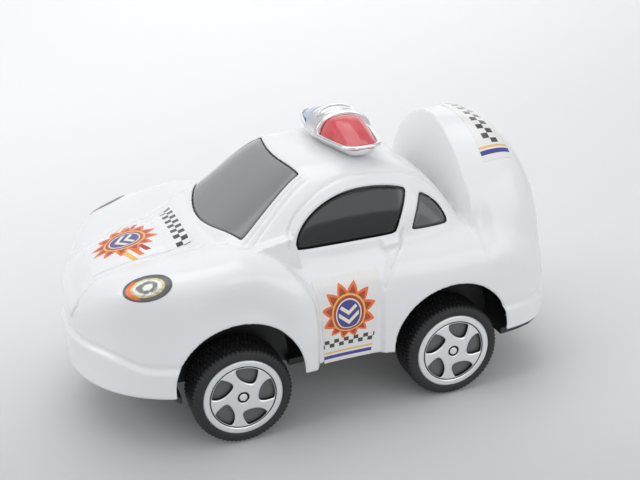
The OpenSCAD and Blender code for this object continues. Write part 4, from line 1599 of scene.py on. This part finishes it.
    def facets(self, half: float, height: float) -> Array:
        """Return a lens's section: upright foot, slanted shoulders and a flat crown, with soft corners.

        Args:
            half: Half its width.
            height: Its height.

        Returns:
            Points in x and z.
        """
        angle = np.linspace(0, math.pi, 60)
        across, up = abs(np.cos(angle)), np.sin(angle)
        top = height / np.maximum(up, 1e-9)
        side = half / np.maximum(across, 1e-9)
        slant = 1.0 / (across / (half * self.lens_shoulder[0]) + up / (height * self.lens_shoulder[1]))
        foot_soft, crown_soft = self.lens_soft
        radius = smaller(smaller(top, side, height * foot_soft), slant, height * crown_soft)
        return np.stack([radius * np.cos(angle), radius * up], 1)

    def lens(self, side: Side, name: str, slot: Slot, finish: Material, node: str) -> None:
        """Build one lens: a squared arch with a chamfered, sloping outer end.

        Args:
            side: The side of the car that it lies on.
            name: The piece's name.
            slot: Its material slot.
            finish: Its tinted plastic.
            node: The frame node that it stands for.
        """
        half, end = self.depth / 2 - self.lens_inset[0], self.length / 2 - self.lens_inset[1]
        inner = self.bridge_half + self.lens_gap
        levels = [(inner, half, self.lens_h)]
        for share in self.lens_shares:
            y = inner + (end - inner) * share
            sloped = max(0.0, (share - self.lens_fall_from) / (1 - self.lens_fall_from))
            high = self.lens_h * (1 - self.lens_fall * sloped**self.lens_fall_power)
            wide = min(half, half - self.taper * (y - self.taper_from))
            levels.append((y, wide - self.lens_chamfer * max(0.0, share - self.lens_chamfer_from), high))
        past, narrower, low = self.lens_tip
        tip = half - self.taper * (end - self.taper_from)
        levels.append((end + past, tip - narrower, self.lens_h * low))
        rings = [self.arch(self.facets(wide, high), y * side.value) for y, wide, high in levels]
        points, faces = self.loft(rings, False)
        faces = side.wound([face[::-1] for face in faces])
        Piece(name, points, faces).build(Body.CAR, slot, finish, (node,), crease_deg=24.0)

    def bridge(self, finish: Material) -> None:
        """Build the domed bridge with rounded rims and a bare oval recess on its crown.

        Args:
            finish: The bright plating.
        """
        half = self.depth / 2 + self.bridge_over
        crown = np.linspace(-self.crown_share, self.crown_share, self.crown_rings)
        across = np.concatenate([self.rim_shares, crown, [-share for share in self.rim_shares[::-1]]])
        rim = np.concatenate([self.rim_drops, 0 * crown, self.rim_drops[::-1]])
        angle = np.linspace(0, math.pi, 121)
        fold = np.minimum(angle, math.pi - angle)
        rings = []
        for y, grow in zip(across * self.bridge_half, rim):
            radius = oval(half + grow, self.bridge_h + grow, self.bridge_power, fold)
            along, up = radius * np.cos(angle), radius * np.sin(angle)
            long, wide = half * self.recess_size[0], self.bridge_half * self.recess_size[1]
            reach = np.hypot(along / long, y / wide)
            sink = self.recess_d * ramp(reach, *self.recess_edge)
            sink = sink - self.recess_rim * bell(reach, *self.recess_rim_at)
            up = up - np.where(up > self.bridge_h * self.recess_above, sink, 0)
            rings.append(self.arch(np.stack([along, up], 1), y))
        points, faces = self.loft(rings, False)
        Piece("lightbar_dome", points, [face[::-1] for face in faces]).build(
            Body.CAR, Slot.CHROME, finish, ("lightbar_bridge",), crease_deg=50.0
        )

    def build(self) -> None:
        """Build the whole bar."""
        chrome = CHROME.material()
        self.dish(chrome)
        self.lens(Side.LEFT, "red_lens_cover", Slot.RED, RED_PLASTIC.material(), "red_lens")
        self.lens(Side.RIGHT, "blue_lens_cover", Slot.BLUE, BLUE_PLASTIC.material(), "blue_lens")
        self.bridge(chrome)


@dataclass(frozen=True)
class Corner:
    """One corner of the car, where a wheel and its tyre turn with an axle."""

    x: float
    side: Side
    body: Body
    end: End
    face_y: float = 39.5
    axle_z: float = 15.0

    @property
    def word(self) -> str:
        """Return the corner's name as the pieces carry it."""
        return f"{self.end.value}_{self.side.word}"

    def place(self, radius: Array, angle: Array, depth: Array) -> Array:
        """Return points turned round the axle.

        Args:
            radius: Distances from the axle.
            angle: Angles round it, in radians.
            depth: Depths behind the wheel's face.

        Returns:
            The points along the last axis.
        """
        across, up = radius * np.cos(angle), radius * np.sin(angle)
        y = np.broadcast_to(self.side.value * (self.face_y - depth), across.shape)
        return np.stack([self.x + across, y, self.axle_z + up], -1)


@dataclass
class Tyre:
    """A treaded tyre on one wheel."""

    width: float = 12.0
    outer_r: float = 15.0
    rim_r: float = 11.8
    shoulder: float = 1.9
    bead: tuple[Pair, ...] = ((0.05, 1.2), (0.05, 0.3), (0.35, 0.05), (0.9, 0.0))
    around: int = 576
    blocks: int = 72
    tread_depth: float = 0.45
    groove_lean: float = 1.15
    groove_half: float = 0.16
    rib_half: float = 0.2
    rib_share: float = 0.7
    tread_edge: Pair = (-0.5, -0.1)
    shoulder_edge: Pair = (1.0, 1.6)
    ring_at: float = 0.75
    ring_half: float = 0.16
    ring_share: float = 0.35

    def profile(self) -> Array:
        """Return the section from the outer bead over the tread to the inner bead.

        Returns:
            Its points, as radius and depth from the face.
        """
        crown = np.linspace(self.shoulder, self.width - self.shoulder, 27)
        turn = np.linspace(0, math.pi / 2, 9)
        corner = self.outer_r - self.shoulder
        outer = np.stack([corner + self.shoulder * np.sin(turn), self.shoulder * (1 - np.cos(turn))], 1)
        near = np.concatenate([np.array(self.bead) + [self.rim_r, 0], outer[:-1]])
        tread = np.stack([np.full_like(crown, self.outer_r), crown], 1)
        return np.concatenate([near, tread, near[::-1] * [1, -1] + [0, self.width]])

    def relief(self, angle: Array, line: Array) -> Array:
        """Return the depth of the tread grooves.

        Args:
            angle: Angles round the tyre, one a row.
            line: The profile's points.

        Returns:
            The depths, with a row for each angle and a column for each profile point.
        """
        radius, depth = line.T
        lean = self.groove_lean * abs((depth - self.width / 2) / (self.width / 2))
        turns = angle * self.blocks / math.tau
        slant, cross = (bell(abs((turns + way * lean) % 1 - 0.5), 0.5, self.groove_half) for way in (1, -1))
        ribs = bell(abs((turns + self.groove_lean) % 1 - 0.5), 0.5, self.rib_half)
        on_tread = ramp(radius - self.outer_r, *self.tread_edge)
        on_shoulder = ramp(radius - self.rim_r, *self.shoulder_edge) * (1 - on_tread)
        ring = self.ring_share * bell(radius, self.rim_r + self.ring_at, self.ring_half)
        grooves = np.maximum(slant, cross) * on_tread + self.rib_share * ribs * on_shoulder
        return self.tread_depth * (grooves + ring)

    def build(self, corner: Corner, finish: Material) -> None:
        """Build the tyre at a corner of the car.

        Args:
            corner: The corner.
            finish: The rubber.
        """
        line = self.profile()
        angle = np.linspace(0, math.tau, self.around, endpoint=False)[:, None]
        grid = corner.place(line[:, 0] - self.relief(angle, line), angle, line[:, 1])
        quads = sheet_faces(self.around + 1, len(line), closed=True) % (self.around * len(line))
        Piece(f"treaded_tyre_{corner.word}", grid, corner.side.wound(quads[:, ::-1])).build(
            corner.body, Slot.TYRE, finish, (f"tyre_{corner.word}",), crease_deg=50.0
        )


@dataclass
class Wheel:
    """A bright wheel with five swirled blind openings round a pin's end."""

    rim_r: float = 11.75
    ring_r: float = 9.75
    ring_half: float = 0.17
    pin_r: float = 1.45
    pin_half: float = 0.28
    hole_out: float = 9.45
    hole_in: float = 4.5
    hole_half_deg: float = 21.0
    hole_scale: float = 0.85
    hole_soft: float = 0.3
    swirl_deg: float = -13.0
    turn_deg: float = 29.0
    holes: int = 5
    plate: float = 1.5
    edge: float = 0.25
    rim_edge: float = 0.4
    width: float = 12.0
    around: int = 360
    barrel_around: int = 120

    def opening(self, radius: Array, angle: Array) -> Array:
        """Return the distance to the openings and the ring grooves, negative inside them.

        Args:
            radius: Distances from the axle.
            angle: Angles round it, in radians.

        Returns:
            The distances.
        """
        share = np.clip((self.hole_out - radius) / (self.hole_out - self.hole_in), -1, 1.5)
        pitch = 360 / self.holes
        lean = np.degrees(angle) - self.turn_deg + self.swirl_deg * np.maximum(0, share) ** 2
        off = np.radians(abs((lean + pitch / 2) % pitch - pitch / 2)) * radius
        half = math.radians(self.hole_half_deg) * self.hole_out
        cup = (np.hypot(off / half, np.maximum(0, share)) - 1) * half * self.hole_scale
        hole = larger(cup, radius - self.hole_out, self.hole_soft)
        groove = abs(radius - self.ring_r) - self.ring_half
        return np.minimum(np.minimum(hole, groove), abs(radius - self.pin_r) - self.pin_half)

    def face(self) -> tuple[Array, Array]:
        """Return the face plate with its openings.

        Returns:
            Its points, in place across, depth and up, and its triangles.
        """
        radius = np.concatenate([np.linspace(0.02, 1.9, 24)[:-1], np.linspace(1.9, self.rim_r, 84)])
        r, a = np.meshgrid(radius, np.linspace(0, math.tau, self.around + 1), indexing="ij")
        keep = self.opening(r, a)
        sink = self.edge * np.clip(1 - keep / self.edge, 0, 1) ** 2
        sink = sink + self.rim_edge * np.clip((r - self.rim_r + self.rim_edge) / self.rim_edge, 0, 1) ** 2
        grid = np.stack([r * np.cos(a), sink, r * np.sin(a)], -1)
        points, faces = welded(*clip_mesh(grid.reshape(-1, 3), sheet_faces(*r.shape), keep.ravel()))
        count = len(points)
        edges = np.concatenate([faces[:, pair] for pair in ([0, 1], [1, 2], [2, 0])])
        border = edges[~np.isin(edges @ [count, 1], edges @ [1, count])]
        walls = halves(np.column_stack([border[:, ::-1], border + count]))
        whole = np.concatenate([points, points + [0, self.plate, 0]])
        return whole, np.concatenate([faces, faces[:, ::-1] + count, walls])

    def barrel(self) -> tuple[Array, Array]:
        """Return the dark floor, barrel and hub behind the face, as a turned section.

        Returns:
            Their points, in place across, depth and up, and their triangles.
        """
        rim, back = self.rim_r, self.width - 0.4
        line = np.array([
            [0.0, self.plate], [rim - 0.5, self.plate], [rim - 0.5, 0.2], [rim, 0.3], [rim, 1.7],
            [rim - 1.3, 1.9], [rim - 1.3, back - 1.5], [rim - 0.5, back - 1.3], [rim - 0.5, back],
            [rim - 2.8, back], [rim - 2.8, 3.8], [3.0, 3.8], [3.0, back + 0.3], [1.1, back + 0.3],
            [1.1, 3.4], [0.0, 3.4],
        ])
        radius, depth = line.T
        angle = np.linspace(0, math.tau, self.barrel_around, endpoint=False)[:, None]
        across, up = radius * np.cos(angle), radius * np.sin(angle)
        grid = np.stack([across, np.broadcast_to(depth, across.shape), up], -1)
        quads = sheet_faces(self.barrel_around + 1, len(line)) % (self.barrel_around * len(line))
        return welded(grid.reshape(-1, 3), halves(quads[:, ::-1]))

    def build(self, corner: Corner, finish: Material) -> None:
        """Build the wheel at a corner of the car.

        Args:
            corner: The corner.
            finish: Its bright metal and black moulding, with painted shade in the recesses.
        """
        face, faces = self.face()
        back, turned = self.barrel()
        across, depth, up = np.concatenate([face, back]).T
        points = corner.place(np.hypot(across, up), np.arctan2(up, across), depth)
        tris = corner.side.wound(np.concatenate([faces, turned + len(face)]))
        Piece(f"swirl_wheel_{corner.word}", points, tris).build(
            corner.body, Slot.WHEEL, finish, (f"wheel_{corner.word}",)
        )


@dataclass
class Labels:
    """The printed labels, each following the shell with its own thickness."""

    shell: BodyShell
    lift: float = 0.1
    film: float = 0.08
    fine: int = 48
    hood_x: Pair = (-37.5, -8.5)
    hood_phi: Pair = (59.0, 121.0)
    hood_print: Pair = (29.0, 27.0)
    tail_x: Pair = (12.0, 21.5)
    tail_phi: Pair = (58.0, 122.0)
    tail_print: Pair = (58.0, 10.0)
    tail_points: tuple[int, int] = (24, 96)
    door_phi: Pair = (-28.5, 24.0)
    door_rear: Pair = (-9.2, -3.6)
    door_front: Pair = (5.3, 2.6)
    door_print: Pair = (18.0, 27.5)
    lamp_at: Pair = (-20.3, 33.0)
    lamp_half: Pair = (6.4, 5.4)
    lamp_rings: int = 16

    def lay(
        self, name: str, node: str, grid: Array, faces: list | Array, prints: list[Array], finish: Material
    ) -> None:
        """Build a label from a grid of points.

        Args:
            name: The piece's name.
            node: The frame node that it stands for.
            grid: The points, just above the shell.
            faces: The faces over them.
            prints: The print's two coordinates at each point.
            finish: Its print.
        """
        piece = Piece(name, grid, faces, np.stack(prints, -1))
        piece.build(Body.CAR, Slot.LABEL, finish, (node,), wall=self.film)

    def hood(self) -> None:
        """Build the hood's label."""
        width, height = self.hood_print
        x = self.shell.skin.nose_x + np.linspace(*self.hood_x, self.fine)
        grid = self.shell.dressed(x, np.linspace(*self.hood_phi, self.fine), self.lift)
        share = np.linspace(0, 1, self.fine)
        prints = np.meshgrid(share, share, indexing="ij")
        finish = HoodPrint(name="hood_print", width=width, height=height).material()
        self.lay("hood_print", "hood_label", grid, sheet_faces(self.fine, self.fine), prints, finish)

    def doors(self) -> None:
        """Build the two door labels, narrower at the foot."""
        width, height = self.door_print
        finish = DoorPrint(name="door_print", width=width, height=height).material()
        up = np.linspace(0, 1, self.fine)
        across = up[:, None]
        rear = self.door_rear[0] + self.door_rear[1] * up
        front = self.door_front[0] + self.door_front[1] * up**2
        place = rear + (front - rear) * across
        phi = np.broadcast_to(np.linspace(*self.door_phi, self.fine), place.shape)
        for side in Side:
            grid = self.shell.dressed(place, side.turned(phi), self.lift)
            prints = np.broadcast_arrays(across if side is Side.RIGHT else 1 - across, up)
            faces = side.wound(sheet_faces(*place.shape))
            self.lay(f"door_print_{side.word}", f"door_label_{side.word}", grid, faces, prints, finish)

    def tail(self) -> None:
        """Build the label across the tail hoop."""
        width, height = self.tail_print
        rows, columns = self.tail_points
        x = self.shell.skin.tail_x + np.linspace(*self.tail_x, rows)
        grid = self.shell.dressed(x, np.linspace(*self.tail_phi, columns), self.lift)
        prints = np.meshgrid(np.linspace(0, 1, columns), np.linspace(0, 1, rows))
        finish = TailPrint(name="tail_print", width=width, height=height).material()
        self.lay("tail_print", "tail_label", grid, sheet_faces(rows, columns), prints, finish)

    def lamps(self) -> None:
        """Build the two oval headlight pictures."""
        skin, step = self.shell.skin, 0.05
        finish = LampPrint(name="lamp_print", width=2.0, height=2.0).material()
        radius = np.linspace(0.02, 1, self.lamp_rings)[:, None]
        turn = np.linspace(0, math.tau, self.fine, endpoint=False)
        along, up = radius * np.cos(turn), radius * np.sin(turn)
        x = skin.nose_x + self.lamp_at[0] + self.lamp_half[0] * along
        phi = self.lamp_at[1] + self.lamp_half[1] * up
        quads = sheet_faces(*x.shape, closed=True).tolist()
        middle = list(range(self.fine))[::-1]
        for side in Side:
            base = skin.point(x, side.turned(phi))
            ahead, over = skin.point(x + step, side.turned(phi)), skin.point(x, side.turned(phi + step))
            normal = np.cross(ahead - base, over - base)
            normal *= -side.value / np.linalg.norm(normal, axis=-1, keepdims=True)
            prints = [(along + 1) / 2, (up + 1) / 2]
            faces = side.wound([*quads, middle])
            name, node = f"lamp_print_{side.word}", f"headlight_label_{side.word}"
            self.lay(name, node, base + normal * self.lift, faces, prints, finish)

    def build(self) -> None:
        """Build every label."""
        self.hood()
        self.doors()
        self.tail()
        self.lamps()


@dataclass
class ChassisPan:
    """The flat pan under the shell, drawn in between the wheels so that the sills hide it."""

    draw_in: float = 8.4
    edge_y: float = 30.0
    middle_x: float = -2.0
    between_x: float = 21.0
    nose_from: float = 52.0
    nose_long: float = 21.0
    nose_half: float = 38.0
    nose_share: float = 0.82
    nose_draw: tuple[float, float, float] = (0.95, 0.9, 1.0)

    def build(self, finish: Material) -> None:
        """Build the pan from the frame's chassis.

        Args:
            finish: The pan's plastic.
        """
        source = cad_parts["chassis"]
        points = np.array([tuple(source.matrix_world @ corner.co) for corner in source.data.vertices]) / MM
        side = (abs(points[:, 1]) > self.edge_y) & (abs(points[:, 0] - self.middle_x) < self.between_x)
        points[side, 1] -= np.sign(points[side, 1]) * self.draw_in
        ahead = points[:, 0] - self.nose_from
        nose = np.hypot(ahead / self.nose_long, points[:, 1] / self.nose_half) > self.nose_share
        points[nose & (ahead > 0)] *= self.nose_draw
        faces = [list(face.vertices) for face in source.data.polygons]
        piece = Piece("chassis_pan", points, faces)
        piece.build(Body.CAR, Slot.CHASSIS, finish, ("chassis",), crease_deg=30.0)


@dataclass
class RunningGear:
    """Frame nodes that keep their own shape and get a finish."""

    steel: tuple[str, ...] = ("body_screws", "gearbox_screws", "idler_pin", "front_axle", "rear_axle")
    plastic: tuple[str, ...] = (
        "gearbox_left", "gearbox_right", "drive_gear", "idler_gear", "flywheel_pinion",
    )
    cast: tuple[str, ...] = ("flywheel",)
    crease_deg: float = 35.0

    def dress(self, names: tuple[str, ...], finish: Material) -> None:
        """Give frame nodes a finish.

        Args:
            names: The nodes' names.
            finish: Their material.
        """
        for name in names:
            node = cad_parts[name]
            node.data.materials.clear()
            node.data.materials.append(finish)
            node.data.shade_smooth()
            node.data.set_sharp_from_angle(angle=math.radians(self.crease_deg))
            LOG.info("%s: dressed", name)

    def build(self) -> None:
        """Dress every node."""
        self.dress(self.steel, STEEL.material())
        self.dress(self.plastic, IVORY.material())
        self.dress(self.cast, ZINC.material())


@dataclass(frozen=True)
class SoftLight:
    """A soft area light: place, size and aim in millimetres, power in watts."""

    name: str
    at: Place
    size: Pair
    power: float
    to: Place = (0.0, 0.0, 40.0)

    def build(self) -> None:
        """Add the light, turned to the point that it aims at."""
        data = bpy.data.lights.new(self.name, "AREA")
        data.shape = "RECTANGLE"
        data.size, data.size_y = self.size[0] * MM, self.size[1] * MM
        data.energy = self.power
        thing = bpy.data.objects.new(self.name, data)
        thing.location = Vector(self.at) * MM
        thing.rotation_euler = (Vector(self.to) * MM - thing.location).to_track_quat("-Z", "Y").to_euler()
        bpy.context.scene.collection.objects.link(thing)


@dataclass
class Studio:
    """The pale sweep, the soft lights and the camera."""

    camera_at: Place = (90.4, 286.9, 172.5)
    right: Place = (-0.94014, 0.33853, -0.03924)
    up: Place = (-0.16842, -0.36144, 0.91704)
    back: Place = (0.29626, 0.86876, 0.39682)
    lens: float = 58.2
    sensor: float = 36.0
    clip: Pair = (0.01, 20.0)
    floor_near: float = 900.0
    floor_far: float = -450.0
    floor_rows: int = 10
    bend_r: float = 500.0
    bend_rows: int = 16
    wall_top: float = 2200.0
    half_width: float = 1800.0
    sky: tuple[float, float, float, float] = (0.95, 0.97, 1.0, 1.0)
    sky_strength: float = 0.69
    lights: tuple[SoftLight, ...] = (
        SoftLight("key", (60, -160, 760), (800, 600), 1.7),
        SoftLight("near_fill", (-320, 760, 420), (900, 500), 1.6),
        SoftLight("nose_fill", (760, -60, 560), (700, 500), 1.8),
        SoftLight("backdrop", (-260, -480, 620), (1200, 500), 3.0, (-100, -950, 300)),
    )

    def camera(self) -> None:
        """Place the camera."""
        data = bpy.data.cameras.new("camera")
        data.lens, data.sensor_width = self.lens, self.sensor
        data.clip_start, data.clip_end = self.clip
        thing = bpy.data.objects.new("camera", data)
        turn = Matrix((self.right, self.up, self.back)).transposed().to_4x4()
        thing.matrix_world = Matrix.Translation(Vector(self.camera_at) * MM) @ turn
        bpy.context.scene.collection.objects.link(thing)
        bpy.context.scene.camera = thing

    def floor(self) -> None:
        """Build the floor that sweeps up behind the car."""
        bend = np.linspace(0.1, math.pi / 2, self.bend_rows)
        flat = np.linspace(self.floor_near, self.floor_far, self.floor_rows)
        wall = self.floor_far - self.bend_r
        away = np.concatenate([flat, self.floor_far - self.bend_r * np.sin(bend), [wall]])
        rise = np.concatenate([0 * flat, self.bend_r * (1 - np.cos(bend)), [self.wall_top]])
        toward = np.array(Vector(self.back).to_2d().normalized())
        across = np.array([-toward[1], toward[0]])
        rows = []
        for a, h in zip(away, rise):
            rows += [(*(toward * a + across * s), h) for s in (-self.half_width, self.half_width)]
        mesh = bpy.data.meshes.new("sweep")
        mesh.from_pydata((np.array(rows) * MM).tolist(), [], sheet_faces(len(away), 2).tolist())
        mesh.shade_smooth()
        thing = bpy.data.objects.new("sweep", mesh)
        bpy.context.scene.collection.objects.link(thing)
        mesh.materials.append(SweepPaper(name="sweep_paper").material())

    def build(self) -> None:
        """Build the studio."""
        self.camera()
        self.floor()
        world = bpy.data.worlds.new("soft_room")
        world.use_nodes = True
        sky = world.node_tree.nodes["Background"]
        sky.inputs["Color"].default_value = self.sky
        sky.inputs["Strength"].default_value = self.sky_strength
        bpy.context.scene.world = world
        for light in self.lights:
            light.build()
        bpy.context.scene.view_settings.view_transform = "Standard"


def main() -> None:
    """Build and dress the car, then the studio."""
    logging.basicConfig(level=logging.INFO, format="%(message)s")
    skin = Skin()
    openings = Openings(skin)
    shell = BodyShell(OuterSkin(), openings)
    shell.build(SHELL_PLASTIC.material())
    Glazing(skin, openings).build(SmokedPane(name="smoked_plastic").material())
    LightBar(skin).build()

    tyre, wheel = Tyre(), Wheel()
    rubber = RUBBER.material()
    bright = WheelFace(name="wheel_metal", face_y=Corner.face_y).material()
    for end, body, x in ((End.FRONT, Body.FRONT, skin.front_x), (End.REAR, Body.REAR, skin.rear_x)):
        for side in Side:
            corner = Corner(x, side, body, end)
            tyre.build(corner, rubber)
            wheel.build(corner, bright)

    ChassisPan().build(PAN_PLASTIC.material())
    RunningGear().build()
    Labels(shell).build()
    Studio().build()


if __name__ == "__main__":
    main()
